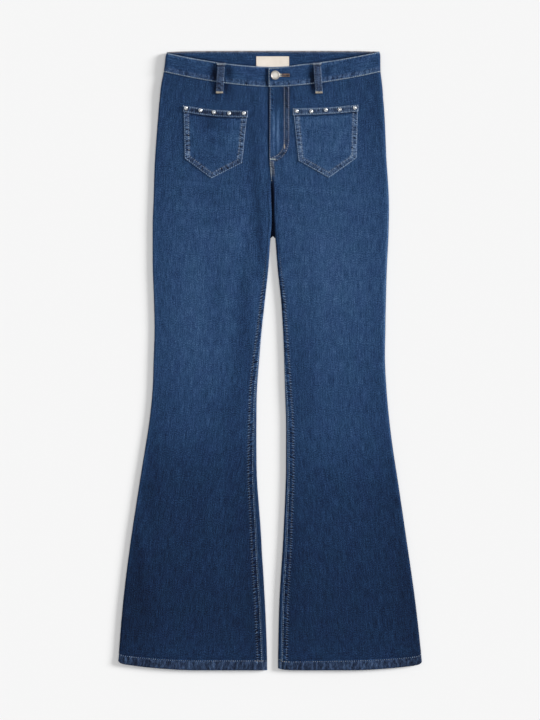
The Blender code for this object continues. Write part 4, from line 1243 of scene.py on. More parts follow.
def waistbands():
    frontBands = {}
    for side, end in ((left, -waist["underlapEnd"]), (right, waist["overlapEnd"])):
        grids, s, marks = bandGrid(
            side, lambda y, end=end: end + 0 * y, 1, band["frontColumns"],
            overlapEdges if side == right else bandEdges, frontBandDetail,
        )
        if side == left:
            for grid in grids:
                grid[..., 2] -= underlapDrop(grid[..., 0])
        word = sideWords[side]
        overSeam = grids[0][..., 1] - grids[0][0:1, :, 1]
        uv = stacked(overSeam + 900 * side, s)
        made = makeWall("waistbandFront" + word.capitalize(), *grids, uv, marks, denim, inside=0.0)
        if side == right:
            cutter = buttonholeCutter()
            cut = made.modifiers.new("buttonhole", "BOOLEAN")
            cut.operation = "DIFFERENCE"
            cut.object = cutter
            bakeModifiers(made)
            bpy.data.objects.remove(cutter)
        declareCloth(made, grids[0], [f"waistband_front_{word}"])
        frontBands[side] = grids[0]
    halves = [
        bandGrid(
            side, lambda y, side=side: side * centre(y), -1, band["backColumns"], backBandEdges,
            backBandDetail,
        )
        for side in (left, right)
    ]
    (leftGrids, leftS, leftMarks), (rightGrids, rightS, rightMarks) = halves

    def join(a, b):  # they meet in the middle, in a column that both have
        return np.concatenate([a, b[:, -2::-1]], axis=1)

    joined = [join(a, b) for a, b in zip(leftGrids, rightGrids)]
    marks = {word: join(leftMarks[word], rightMarks[word]) for word in leftMarks}
    uv = stacked(joined[0][..., 1], join(leftS, 900 - rightS))
    x, y, _ = np.moveaxis(joined[0], -1, 0)
    # painted shadow on the back band's inner face, just over the front's top edge, deeper towards its
    # ends
    overFront = y - np.where(x > 0, overlapEdges(x)[1], bandEdges(x)[1])
    shade = band["shade"] + band["sideShade"] * ease((np.abs(x - 12) - 90) / 25)
    made = makeWall(
        "waistbandBack", *joined, uv, marks, denim, inside=-shade * bell(overFront - 1.0, 2.0)
    )
    declareCloth(made, joined[0], ["waistband_back"])
    return frontBands, joined


frontBands, backBand = waistbands()
print("waistbands made")


# The patch pockets, with a bound and studded mouth
pockets = {
    left: {
        "topLeft": (-152.7, 450.6),
        "topRight": (-40.2, 441),
        "lowRight": (-49.4, 350),
        "tip": (-103.5, 322.4),
        "lowLeft": (-150.8, 357.8),
        "mouthDip": -3.2,
        "tone": 66,
        "puckerDepth": 0.95,
        "puckerSpacing": 8.6,
        "zones": (
            (-104, 421, 0, 16, 16, -14), (-62, 405, 0, 36, 12, 8), (-128, 395, 0, 36, 10, 3),
            (-96, 436, 90, 50, 5, -9), (-78, 368, 0, 26, 20, 4), (-83, 412, 86, 20, 4, -6),
            (-100, 402, 92, 22, 3.6, 5), (-103, 389, 88, 26, 4.2, -5), (-72, 392, 84, 18, 4, 5),
            (-96, 360, 94, 26, 4, -4), (-112, 346, 60, 16, 5, 4), (-100, 375, 90, 22, 4, 3),
        ),
        "studs": ((-148.5, 446.5), (-122.8, 442.6), (-99.1, 439.2), (-72, 437.4), (-46, 437.4)),
    },
    right: {
        "topLeft": (41.4, 444.9),
        "topRight": (155.2, 451.5),
        "lowRight": (153.1, 358.5),
        "tip": (104.1, 323.5),
        "lowLeft": (50.4, 353.9),
        "mouthDip": -1.6,
        "tone": 77,
        "puckerDepth": 0.8,
        "puckerSpacing": 7.3,
        "zones": (
            (98, 438, 90, 50, 4, -8), (102, 424, 92, 30, 4, 4), (112, 412, 88, 30, 4, -4),
            (118, 402, 90, 22, 4, 3), (76, 404, 90, 16, 5, -5), (88, 387, 86, 20, 4, -5),
            (120, 387, 92, 22, 4, 4), (70, 376, 90, 16, 5, 5), (104, 362, 88, 30, 4, -3),
            (126, 350, 100, 14, 5, 7), (108, 336, 90, 20, 5, 6), (142, 404, 0, 40, 4, -4),
        ),
        "studs": ((47.3, 441.3), (73.1, 440.8), (98.8, 443.3), (123.2, 444), (150.3, 447)),
    },
}
patch = {
    "stitchRows": (1.4, 7.9),  # in from the pocket's sewn edges
    "fine": (0, 0.5, 1.1, 1.8, 2.6, 3.5, 4.5, 5.5, 6.5, 7.5, 8.5, 9.5, 10.6, 12),
    "middle": 48,
    "pucker": 0.3,
    "bindingHeight": 11.5,
    "bindingPast": 0.9,  # beyond the pocket at its mouth and sides
    "bindingStitch": 1.8,
    "bindingTones": {left: 47, right: 66},
    "studShade": 28,  # how dark the painted shade in the ring round each stud is
    "mouthShade": 26,  # and the painted shadow under the binding
    "edgeShade": 12,  # and the two slanting edges
    "bindingColumns": 90,
}
studs = {"Radius": 3.1, "Height": 1.9, "Rim": 0.35, "sides": 28, "steps": 6, "shoulder": 0.94}


def pocketMouth(pocket, share):
    (x0, y0), (x1, y1) = pocket["topLeft"], pocket["topRight"]
    return blend(x0, x1, share), blend(y0, y1, share) + pocket["mouthDip"] * np.sin(math.pi * share)


def fineShares(length):
    # places from 0 to 1, close together at both ends
    offset, share = spread(patch["fine"], patch["middle"], patch["fine"][::-1])
    return (offset + share * length) / length


def pocketPlan(pocket):
    width = pocket["topRight"][0] - pocket["topLeft"][0]
    lowLeft, tip, lowRight = (np.array(pocket[word]) for word in ("lowLeft", "tip", "lowRight"))
    share = fineShares(width)
    atTip = (tip[0] - lowLeft[0]) / (lowRight[0] - lowLeft[0])
    share[np.argmin(np.abs(share - atTip))] = atTip  # a column runs to the point
    t = np.where(share <= atTip, share / atTip, (share - atTip) / (1 - atTip))[:, None]
    foot = np.where((share <= atTip)[:, None], blend(lowLeft, tip, t), blend(tip, lowRight, t))
    mouth = np.stack(pocketMouth(pocket, share), -1)
    rise = fineShares(mouth[:, 1].mean() - foot[:, 1].mean())
    return blend(foot[None], mouth[None], rise[:, None, None])


def pocketSides(pocket):
    corners = [np.array(pocket[word]) for word in ("topRight", "lowRight", "tip", "lowLeft", "topLeft")]
    return list(zip(corners, corners[1:]))


def pocketGaps(pocket, x, y):
    # distance in from the nearest sewn side, and the place along the sides there
    gap, along, done = np.full(np.shape(x), farAway), np.zeros(np.shape(x)), 0.0
    for a, b in pocketSides(pocket):
        length = np.hypot(*(b - a))
        towards = (b - a) / length
        here = towards[1] * (x - a[0]) - towards[0] * (y - a[1])
        nearer = here < gap
        gap = np.where(nearer, here, gap)
        along = np.where(nearer, done + towards[0] * (x - a[0]) + towards[1] * (y - a[1]), along)
        done += length
    return gap, along


def pocketRise(pocket, side, x, y):
    gap, along = pocketGaps(pocket, x, y)
    turn = (along + 0.12 * gap) / pocket["puckerSpacing"]
    between = ease((gap - 0.6) / 1.6) * ease((11.4 - gap) / 3.0)
    rise = between * (0.18 + patch["pucker"] * ripple(turn, 1.0, side + 2.4))
    rowGap = np.minimum(*(np.abs(gap - row) for row in patch["stitchRows"]))
    rise = rise - 0.22 * bell(rowGap, 0.8)
    return rise, gap, rowGap, between, turn


def pocketTop(side, x, y):
    rise = pocketRise(pockets[side], side, x, y)[0]
    return frontHeight(x, y, side) + cloth["patchGap"] + cloth["pocketWall"] + rise


def bindingTop(side, x, y):
    under = frontHeight(x, y, side) + cloth["patchGap"] + cloth["pocketWall"]
    return under + cloth["seamGap"] + cloth["bindingWall"]


def pocketPatch(side):
    pocket, word = pockets[side], sideWords[side]
    plan = pocketPlan(pocket)
    x, y = plan[..., 0], plan[..., 1]
    under = frontHeight(x, y, side) + cloth["patchGap"]
    rise, gap, rowGap, between, turn = pocketRise(pocket, side, x, y)
    near = stacked(x, y, under + cloth["pocketWall"] + rise)
    far = stacked(x, y, under)
    tone = pocket["tone"] + creases(x, y, pocket["zones"]) + 2 * ripple(x, 37, side + 2.0)
    (startX, _), (endX, _) = pocket["topLeft"], pocket["topRight"]
    mouthY = pocketMouth(pocket, (x - startX) / (endX - startX))[1]
    upright = ease((y - pocket["lowLeft"][1] + 6) / 12)  # 0 along the two slanting edges
    # painted shadow under the binding, and a darker band along the slanting edges
    tone = tone - patch["mouthShade"] * bell(mouthY - patch["bindingHeight"] - 0.6 - y, 1.7)
    tone = tone - patch["edgeShade"] * (1 - upright) * between
    corners = [np.array(pocket[word]) for word in ("lowLeft", "lowRight", "tip")]
    atCorner = sum(bell(np.hypot(x - cornerX, y - cornerY), 11) for cornerX, cornerY in corners)
    atRow = bell(gap - patch["stitchRows"][1], 1.5)
    marks = {
        "tone": toneMark(tone),
        "wear": 0.04 * between + 0.28 * atCorner * between + 0.36 * atRow,
        "edgeGap": gap,
        "stitchGap": rowGap,
        "pucker": between * pocket["puckerDepth"] * (0.5 + 0.5 * upright),
        "turn": turn,
        "ruck": 0.8 * between,
        "faded": 0.4 * between,
        "crumple": 0.5 * ease((gap - 4) / 8),
    }
    made = makeWall("pocket" + word.capitalize(), near, far, plan + (2600, 90 * side), marks, denim)
    declareCloth(made, near, [f"pocket_{word}"])


def pocketBinding(side):
    pocket, word = pockets[side], sideWords[side]
    share = np.array([0, 0.004, *np.linspace(0.012, 0.988, patch["bindingColumns"]), 0.996, 1])
    down = np.array([0.0, 0.5, 1.1, 1.7, 2.5, 3.5, 4.6, 5.75, 6.9, 8.0, 9.0, 9.8, 10.4, 11.0, 11.5])
    mouthX, mouthY = pocketMouth(pocket, share)
    x = mouthX + patch["bindingPast"] * (2 * share - 1) + 0 * down[:, None]
    y = mouthY + patch["bindingPast"] - down[:, None]
    top = bindingTop(side, x, y)
    fromEnd = np.minimum(share, 1 - share) * (pocket["topRight"][0] - pocket["topLeft"][0])
    fromSide = np.minimum(down, patch["bindingHeight"] - down)[:, None]
    rowGap = np.abs(fromSide - patch["bindingStitch"])
    studGap = np.minimum.reduce([np.hypot(x - studX, y - studY) for studX, studY in pocket["studs"]])
    tone = patch["bindingTones"][side] + 3 * ripple(x, 23, side + 4.0)
    pucker = ripple(x, 5.4, side + 1.7)
    rise = 0.12 * pucker * bell(fromSide - 3.2, 2.2) - 0.2 * bell(rowGap, 0.8)
    rise = rise + 0.12 * bell(fromSide - 5.7, 3)
    near = stacked(x, y, top + rise)
    far = stacked(x, y, top - cloth["bindingWall"])
    marks = {
        # with painted shade in a ring round each stud
        "tone": toneMark(tone - patch["studShade"] * bell(studGap - studs["Radius"] - 0.4, 1.3)),
        "wear": 0.3 * bell(fromSide - 2, 1.2) + 0.9 * bell(fromEnd, 2.6) * (0.6 + 0.4 * pucker),
        "edgeGap": np.minimum(fromSide, fromEnd),
        "stitchGap": rowGap,
        "pucker": 0.2 * bell(fromSide - 3, 2.2) + 0.15,
        "turn": x / 6.1,
        "ruck": 0.8,
        "faded": 0.5,
        "crumple": 0.8,
    }
    uv = stacked(y + 300, x + 2000 * side)
    made = makeWall("pocketBinding" + word.capitalize(), near, far, uv, marks, denim)
    declareCloth(made, near, [f"pocket_binding_{word}"])


for side in (left, right):
    pocketPatch(side)
    pocketBinding(side)
print("pockets made")


# The belt loops: folded strips, bar-tacked at both ends
beltLoops = {
    "width": 12.8,
    "front": {left: (-86.1, -89.4), right: (82.9, 86.7)},  # X at the top and at the foot
    "frontFoot": 472.9,
    "line": (
        # down from the band's top edge, and the underside's height over the surface there
        (0, 10.65), (5, 11.3), (14, 12.4), (25, 12.5), (35, 11.6), (43, 9.9), (48, 9.3),
        (53.5, 9.2),
    ),
    "back": {"Left": -86, "Middle": 0, "Right": 86},
    "backEdges": (495.2, 547.6),
    "across": (0, 0.5, 1.1, 1.8, 2.4, 3, 3.8, 4.8, 6.4),
    "stitchIn": 2.4,
    "knotAt": 0.045,  # the folded knot at a front loop's top
    "knotWider": 0.2,
    "knotRise": 0.5,
    "tones": {left: 65, right: 68},
    "backTone": 64,
    "tack": 12,
}


def loopSection():
    half = np.array(beltLoops["across"])
    return np.concatenate([half, beltLoops["width"] - half[-2::-1]]) - beltLoops["width"] / 2


def loopDetail(across, y, phase):
    # two sewn rows, with the folded edges rounded and a little puckered
    fromEdge = beltLoops["width"] / 2 - np.abs(across)
    stitchGap = np.abs(fromEdge - beltLoops["stitchIn"]) + 0 * y
    rise = -0.28 * bell(stitchGap, 0.8) + 0.10 * ripple(y + 2 * np.sign(across), 4.6, phase)
    rise = rise + 0.12 * bell(fromEdge - 4.6, 1.6) - 0.12 * bell(fromEdge, 0.8)
    return rise, {
        # worn folded edges, with a painted highlight on the right edge, the side the light comes from
        "wear": 0.10 * bell(fromEdge - 1, 1) + 0.12 * (across > 0) * bell(fromEdge, 1),
        "edgeGap": fromEdge + 0.5,
        "stitchGap": stitchGap,
        "pucker": 0.4 * bell(fromEdge - 3.4, 2),
        "turn": (y + 1.5 * np.sign(across)) / 6.3,
        "ruck": 0.6,
        "faded": 0.6,
    }


loopRows = np.array([0.0, 0.5, 1.3, *np.linspace(2.2, 97.8, 62), 98.7, 99.5, 100.0])[:, None] / 100


def frontLoops():
    grids = {}
    line = beltLoops["line"]
    for side, (topX, footX) in beltLoops["front"].items():
        top = float((overlapEdges if side == right else bandEdges)(np.array(topX))[1])
        down = (top - beltLoops["frontFoot"]) * loopRows
        knot = bell(loopRows - beltLoops["knotAt"], 0.045)
        across = loopSection() + 0 * down
        x = blend(topX, footX, loopRows) + across * (1 + beltLoops["knotWider"] * knot)
        y = top - down + 0 * across
        under = readTable(line, loopRows * line[-1][0], 1) + 0 * across
        rise, marks = loopDetail(across, y, side + 2.2)
        near = stacked(x, y, under + cloth["loopWall"] + rise + beltLoops["knotRise"] * knot)
        # painted shade just under the folded knot, and a little darker towards the foot
        tone = beltLoops["tones"][side] - 22 * bell(loopRows - 0.1, 0.04)
        tone = tone - 6 * bell(loopRows - 0.8, 0.2)
        marks["tone"] = toneMark(tone)
        marks["faded"] = marks["faded"] + 1.2 * knot
        word = sideWords[side]
        uv = stacked(across + 3000 + 40 * side, y)
        made = makeWall(
            "beltLoopFront" + word.capitalize(), near, stacked(x, y, under), uv, marks, denim,
            inside=0.0,
        )
        declareCloth(made, near, [f"belt_loop_front_{word}"])
        grids[side] = near
    return grids


def backLoops():
    grids = {}
    low, high = beltLoops["backEdges"]
    for number, (word, atX) in enumerate(beltLoops["back"].items()):
        y = blend(high, low, loopRows)
        across = loopSection() + 0 * y
        rise, marks = loopDetail(across, y + 0 * across, number + 0.6)
        x, y = atX + across, y + 0 * across
        near = stacked(x, y, np.maximum(-rise, 0))
        marks["tone"] = toneMark(beltLoops["backTone"])
        uv = stacked(across + 3200 + 40 * number, y)
        far = stacked(x, y, cloth["loopWall"])
        made = makeWall("beltLoopBack" + word, near, far, uv, marks, denim, inside=0.0)
        declareCloth(made, near, [f"belt_loop_back_{word.lower()}"])
        grids[word] = near
    return grids


frontLoopTops, backLoopTops = frontLoops(), backLoops()
print("belt loops made")


# Behind the fly: the zip's tape with its teeth and slider, and the shield under it
zipper = {
    "teethAt": 13,
    "Pitch": 2.4,  # between two teeth, and the sizes of each
    "Across": 3.4,
    "Along": 1.5,
    "Thick": 0.9,
    "teeth": (356, 474),
    "slider": ((-3.6, 3.6), (464, 474.5), (-0.5, 0.35)),  # X, Y and height over the tape
    "tab": ((-2.2, 2.2), (440, 466), (0.05, 0.45)),
    "step": 1.6,
    "tapeShare": 0.8,  # of the tape's wall, as it is drawn
}


def evenly(start, stop, ends, after, before, step):
    # places from start to stop: some close to both ends, and a step apart between them
    middle = np.arange(start + after, stop - before, step)
    return np.array([*(start + end for end in ends), *middle, *(stop - end for end in ends[::-1])])


def stripGrids(edges, foot, top, step, depth, wall):
    spacing = ((0, 0.5), 1.6, 1, step)
    x, y = np.meshgrid(evenly(*edges, *spacing), evenly(foot, top, *spacing))
    under = frontHeight(x, y, right) - depth
    return stacked(x, y, under + wall), stacked(x, y, under)


def zipUnder():
    return cloth["solidWall"] + cloth["patchGap"] + cloth["tapeWall"]


def tapeTop():
    return zipUnder() - cloth["tapeWall"] * zipper["tapeShare"]


def flyPieces():
    tape, span = cloth["tapeWall"] * zipper["tapeShare"], (fly["foot"], fly["top"])
    near, far = stripGrids(fly["zipEdges"], *span, zipper["step"], zipUnder(), tape)
    x = near[..., 0] - zipper["teethAt"]
    near[..., 2] += 0.12 * bell(x - 4, 0.9) + 0.12 * bell(x + 4, 0.9)
    zipPiece = makeWall("zipTape", near, far, near[..., :2], {}, navyTape)
    declareCloth(zipPiece, near, ["zip"])
    depth = zipUnder() + cloth["seamGap"] + cloth["tapeWall"]
    near, far = stripGrids(fly["shieldEdges"], *span, 2.6, depth, cloth["tapeWall"])
    start, stop = fly["shieldEdges"]
    fromEdge = np.minimum(near[..., 0] - start, stop - near[..., 0])
    marks = {
        "tone": toneMark(66 + 4 * ripple(near[..., 1], 23, 0.4)),
        "wear": 0.3 * bell(fromEdge, 1.5),
        "edgeGap": fromEdge,
        "stitchGap": np.abs(fromEdge - 3.0),
    }
    shield = makeWall("flyShield", near, far, near[..., :2] + (4000, 0), marks, denim)
    declareCloth(shield, near, ["fly_shield"])


flyPieces()


def turned(name, profile, sides, place, material):
    # a closed shape round an upright axis: profile holds radius and height, foot to top
    angles = math.tau * np.arange(sides) / sides
    rings, faces, starts, first = [], [], [], 0
    for radius, height in profile:
        count = 1 if radius == 0 else sides
        at = angles[:count]
        rings.append(stacked(radius * np.cos(at), radius * np.sin(at), np.full(count, height)))
        starts.append((first, count))
        first += count
    for (low, lowCount), (high, highCount) in zip(starts, starts[1:]):
        for n in range(sides):
            after = (n + 1) % sides
            corners = [low + n % lowCount, low + after % lowCount]
            corners += [high + after % highCount, high + n % highCount]
            faces.append(tuple(dict.fromkeys(corners)))
    made = plainObject(name, np.concatenate(rings) + np.array(place), faces=faces)
    made.data.validate()
    finishMesh(made.data, material, 50)
    return made


def fasteningButton():
    # the shank's foot stands on the underlap and its cap lies over the band
    foot = waist["underlapTop"] + cloth["seamGap"]
    cap = waist["bandTop"] + cloth["seamGap"] - foot
    profile = [(0, 0), (2.1, 0), (2.5, 0.35), (2.5, cap - 0.5), (2.9, cap - 0.15), (4.6, cap)]
    profile += [(radius * button["capScale"], cap + height) for radius, height in button["profile"]]
    made = turned("jeansButton", profile, button["sides"], (*button["centre"], foot), silver)
    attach(made, "root")
    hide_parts("button")


fasteningButton()

label = {
    "edges": (-24.4, 33.6),
    "foot": 513,
    "top": 538.3,
    "fold": 2.4,  # both ends are turned under
    "stitchIn": 1.4,
    "step": 1.1,
}


def backLabel():
    (x0, x1), y0, y1 = label["edges"], label["foot"], label["top"]
    spacing = ((0, 0.4, 0.9, 1.5), 2.2, 2, label["step"])
    x, y = np.meshgrid(evenly(x0, x1, *spacing), evenly(y0, y1, *spacing))
    fromEnd = np.minimum(x - x0, x1 - x)
    fromEdge = np.minimum(fromEnd, np.minimum(y - y0, y1 - y))
    under = legs["waistLift"] + cloth["bandWall"] + cloth["seamGap"]
    rise = 0.16 * ease((label["fold"] - fromEnd) / 0.7) + 0.06 * ripple(x + 0.3 * y, 15, 1.2)
    rise = rise - 0.16 * bell(fromEdge - label["stitchIn"], 0.7)
    near = stacked(x, y, under + cloth["labelWall"] + rise)
    far = stacked(x, y, under)
    made = makeWall("wovenLabel", near, far, near[..., :2], {}, cream)
    declareCloth(made, near, ["label"])


backLabel()
print("zip, shield, button and label made")


# Sewing: each run is a row of points with the cloth's own upward direction, and Geometry
# Nodes lay the stitches along it
sewing = {
    "stitch": {"Pitch": 3.7, "Length": 2.7, "Width": 1.05, "Height": 0.85, "Turn": 0},
    "topstitch": {"Pitch": 3.8, "Length": 2, "Width": 1.2, "Height": 0.9, "Turn": 0},
    "fly": {"Pitch": 3.8, "Length": 1.8, "Width": 1.35, "Height": 0.9, "Turn": 0},
    "bar": {"Pitch": 0.55, "Length": 2.6, "Width": 0.66, "Height": 0.8, "Turn": 90},
    "tack": {"Pitch": 0.6, "Length": 4.7, "Width": 0.8, "Height": 0.95, "Turn": 90},
    "wander": 5,  # degrees that a stitch may turn
    "longer": (0.39, 0.56),  # half a stitch's length, as shares of what it should be
    "wider": (0.375, 0.6),
    "bead": {"Segments": 6, "Rings": 5},
    "names": {
        "stitch": "Stitches", "topstitch": "Topstitches", "fly": "FlyStitches", "bar": "Bars",
        "tack": "Tacks",
    },
}
runs = {}


def sew(kind, thread, points, normals):
    runs.setdefault((kind, thread), []).append((points, normals))


def upwards(points):
    return np.tile((0.0, 0.0, 1.0), (len(points), 1))


def sewUp(kind, thread, points):
    sew(kind, thread, points, upwards(points))


def sewGrid(kind, thread, grid, rowAt, columnsAt, facing=1):
    points, normals = onGrid(grid, rowAt, columnsAt)
    normals = normals * facing * np.sign(normals[:, 2].sum())
    if facing < 0:  # sunk, so that nothing reaches under the surface the cloth lies on
        points[:, 2] = np.maximum(points[:, 2], sewing["stitch"]["Height"] / 2 - 0.1)
    sew(kind, thread, points, normals)


def rowPlace(rows, value):
    return np.interp(value, rows, np.arange(len(rows)))


def along(start, stop, step=1.0):
    return np.arange(start, stop, step)


def sewPanels():
    for side in (left, right):
        for (grid, rows), columns, facing in (
            (fronts[side], frontColumns, 1), (backs[side], backColumns, -1),
        ):
            atHem = rowPlace(rows, hem["end"] + hem["stitchUp"])
            last = grid.shape[1] - 2
            atGold = columnAt(columns, 13.0) if facing > 0 else last
            if facing < 0:
                sewGrid("topstitch", "tan", grid, atHem, along(1.5, atGold), facing)
                continue
            nearHem = grid[int(atHem)]
            fromInner = side * nearHem[:, 0] - reach(nearHem[:, 1], side)[1]
            atHem = rowPlace(rows, hem["end"] + stitchPlace(fromInner, side))
            for thread, at in (("grey", along(1.5, atGold)), ("gold", along(atGold + 0.5, last))):
                sewGrid("topstitch", thread, grid, np.interp(at, np.arange(last + 2), atHem), at)
        grid, rows = fronts[side]
        legRows = along(rowPlace(rows, hem["end"] + 15), rowPlace(rows, panels["seamShown"][0]))
        sewGrid("topstitch", "blue", grid, legRows, columnAt(frontColumns, panels["inseamRow"]))
        sewGrid("stitch", "pale", grid, legRows, columnAt(frontColumns, panels["inseamEdge"]))
        grid, rows = backs[side]
        last = grid.shape[1] - 2
        for down in (panels["inseamEdge"], panels["yokeRow"]):
            at = rowPlace(rows, waist["yokeSide"] - down)
            sewGrid("stitch", "tan", grid, at, along(9, last), -1)
    grid, rows = backs[left]
    seat = along(rowPlace(rows, legs["backCrotch"] + 4), len(rows) - 1.5)
    for fromSeam in (panels["inseamEdge"], panels["inseamRow"]):
        sewGrid("stitch", "tan", grid, seat, columnAt(backColumns, fromSeam), -1)
        yokeGrid, yokeRows = yokes[left]
        inYoke = along(0.6, len(yokeRows) - 1.5)
        sewGrid("stitch", "tan", yokeGrid, inYoke, columnAt(backColumns, fromSeam), -1)


def onFly(x, y):
    z = frontHeight(x, y, right) + flyRise(x, y)
    return stacked(x, y, z)


def sewFly():
    y = along(fly["foot"] + 2, fly["top"] + 1, 2.0)
    sewUp("fly", "taupe", onFly(centre(y) + 1.4, y))
    for word in ("stitchOuter", "stitchInner"):
        outX, downY = fly[word]
        straight = along(fly["stitchTurn"], fly["top"] + 2, 2.0)[::-1]
        angle = np.linspace(0, math.pi / 2, 40)
        x = np.concatenate([0 * straight + outX, outX * np.cos(angle)]) + fly["stitchEnd"]
        y = np.concatenate([straight, fly["stitchTurn"] - downY * np.sin(angle)])
        keep = x > 1.2
        sewUp("fly", "taupe", onFly(x[keep], y[keep]))
    for offset in (1.3, 7.4):  # below the fly, down to the crotch
        y = along(319, fly["foot"] - 1, 2.0)
        sewUp("stitch", "blue" if offset > 2 else "tan", onFly(centre(y) + offset, y))
    y = along(375.4, 383.4, 1.0)
    sewUp("bar", "gold", onFly(25.7 + 0 * y, y))
    x = along(0.4, 10.0, 1.0)
    sewUp("bar", "tan", onFly(x, 356.4 + 0 * x))


def sewBands():
    for side, grid in frontBands.items():
        shares = band["shares"]
        tall = np.linalg.norm(grid[-1] - grid[0], axis=-1)
        last = grid.shape[1] - 1
        columns = along(1.5, last - (2.4 if side == right else 0.6))
        share = band["stitchIn"] / np.interp(columns, np.arange(last + 1), tall)
        for at in (share, 1 - share):
            sewGrid("stitch", "tan", grid, rowPlace(shares, at), columns)
        if side == right:
            upright = along(rowPlace(shares, 0.05), rowPlace(shares, 0.95))
            sewGrid("stitch", "tan", grid, upright, columnAt(band["frontColumns"], band["stitchIn"]))
    face, back = backBand
    last = face.shape[1] - 1
    for share, kind, inner in ((0.06, "stitch", "tan"), (0.972, "topstitch", "brown")):
        for grid, facing, thread in ((face, -1, "tan"), (back, 1, inner)):
            sewGrid(kind, thread, grid, rowPlace(band["shares"], share), along(9, last - 8), facing)


def sewPockets():
    for side, pocket in pockets.items():
        for inset in patch["stitchRows"]:
            corners = insetCorners(pocket, inset)
            for a, b in zip(corners, corners[1:]):
                t = np.arange(0, 1.001, 1.2 / np.hypot(*(b - a)))[:, None]
                x, y = blend(a, b, t).T
                points = stacked(x, y, pocketTop(side, x, y))
                kind, thread = ("stitch", "pale") if inset < 3 else ("topstitch", "grey")
                sewUp(kind, thread, points)
        share = np.linspace(0.012, 0.988, 100)
        mouthX, mouthY = pocketMouth(pocket, share)
        x = mouthX + patch["bindingPast"] * (2 * share - 1)
        for down in (patch["bindingStitch"], patch["bindingHeight"] - patch["bindingStitch"]):
            y = mouthY + patch["bindingPast"] - down
            points = stacked(x, y, bindingTop(side, x, y))
            sewUp("stitch", "pale", points)


def insetCorners(pocket, inset):
    # the sewn sides moved in, from just under the binding round to just under it again
    lines = []
    for a, b in pocketSides(pocket):
        towards = (b - a) / np.hypot(*(b - a))
        inwards = np.array([towards[1], -towards[0]])
        lines.append((a + inwards * inset, towards))
    corners = [lines[0][0] - (0, patch["bindingHeight"])]
    for (a, u), (b, v) in zip(lines, lines[1:]):
        reachAlong = np.linalg.solve(stacked(u, -v), b - a)[0]
        corners.append(a + u * reachAlong)
    corners.append(np.array(pocket["topLeft"]) + (inset, -patch["bindingHeight"]))
    return corners


def sewLoops():
    section = loopSection()
    half, tack = beltLoops["width"] / 2, beltLoops["tack"] / 2
    for grids, facing in ((frontLoopTops, 1), (backLoopTops, -1)):
        for grid in grids.values():
            last = grid.shape[0] - 1
            for at in (beltLoops["stitchIn"] - half, half - beltLoops["stitchIn"]):
                sewGrid("stitch", "blue", grid, along(3, last - 2), rowPlace(section, at), facing)
            ends = tack * np.array([-1.0, -0.5, 0, 0.5, 1.0])
            for kind, rowAt, thread in (("bar", 4.6, "grey"), ("tack", last - 3.2, "gold")):
                sewGrid(kind, thread, grid, rowAt, rowPlace(section, ends), facing)


def sewButtonhole():
    # purl stitches lie across the edge of the keyhole
    x, y = button["centre"]
    half, eye = button["slit"] / 2 + 0.75, button["eye"] + 0.75
    start = math.asin(half / eye)
    angles = np.linspace(start, math.tau - start, 40)
    slitX = np.arange(button["slitEnd"], x + eye * math.cos(start), -0.8)
    px = np.concatenate([slitX, x + eye * np.cos(angles), slitX[::-1]])
    py = np.concatenate([y + half + 0 * slitX, y + eye * np.sin(angles), y - half + 0 * slitX])
    points = stacked(px, py, np.full(len(px), waist["bandTop"] + 0.05))
    outer = px > 21
    for part, thread in ((outer & (py > y), "rust"), (~outer, "cream"), (outer & (py < y), "rust")):
        sewUp("bar", thread, points[part])
    end = np.linspace(-2.4, 2.4, 6)
    points = stacked(button["slitEnd"] + 0.8 + 0 * end, y + end, np.full(6, waist["bandTop"] + 0.1))
    sewUp("bar", "rust", points)


def sewLabel():
    (x0, x1), inset = label["edges"], label["stitchIn"]
    low, high = label["foot"] + inset, label["top"] - inset
    z = legs["waistLift"] + cloth["bandWall"] + cloth["seamGap"] + cloth["labelWall"]
    route = np.array([(x0 + inset, low), (x0 + inset, high), (x1 - inset, high), (x1 - inset, low)])
    for a, b in zip(route, route[1:]):
        t = np.linspace(0, 1, 30)[:, None]
        points = np.concatenate([blend(a, b, t), 0 * t + z], axis=1)
        sewUp("stitch", "cream", points)


for stage in (sewPanels, sewFly, sewBands, sewPockets, sewLoops, sewButtonhole, sewLabel):
    stage()


def newTree(name, sizes, finish):
    tree = bpy.data.node_groups.new(name, "GeometryNodeTree")
    face = tree.interface
    face.new_socket("Geometry", in_out="INPUT", socket_type="NodeSocketGeometry")
    for word, value in sizes.items():
        face.new_socket(word, in_out="INPUT", socket_type="NodeSocketFloat").default_value = value
    face.new_socket(finish, in_out="INPUT", socket_type="NodeSocketMaterial")
    face.new_socket("Geometry", in_out="OUTPUT", socket_type="NodeSocketGeometry")
    return Nodes(tree), tree.nodes.new("NodeGroupInput").outputs


def spacedPoints(nodes, entry):
    # points along each run, a pitch apart
    path = nodes.add("GeometryNodeMeshToCurve", {"Mesh": entry["Geometry"]})[0]
    inputs = {"Curve": path, "Length": entry["Pitch"]}
    return nodes.add("GeometryNodeResampleCurve", inputs, mode="LENGTH")[0]


def endTree(nodes, points, shape, material, **placing):
    # the shape on every point, made real, smoothed and finished
    inputs = {"Points": points, "Instance": shape, **placing}
    laid = nodes.add("GeometryNodeInstanceOnPoints", inputs)[0]
    whole = nodes.add("GeometryNodeRealizeInstances", {"Geometry": laid})[0]
    smooth = nodes.add("GeometryNodeSetShadeSmooth", {"Geometry": whole})[0]
    finish = nodes.add("GeometryNodeSetMaterial", {"Geometry": smooth, "Material": material})
    nodes.add("NodeGroupOutput", {0: finish[0]})
    return nodes.tree


def anyBetween(nodes, low, high, seed):
    return nodes.add("FunctionNodeRandomValue", {2: low, 3: high, "Seed": seed}, data_type="FLOAT")[1]


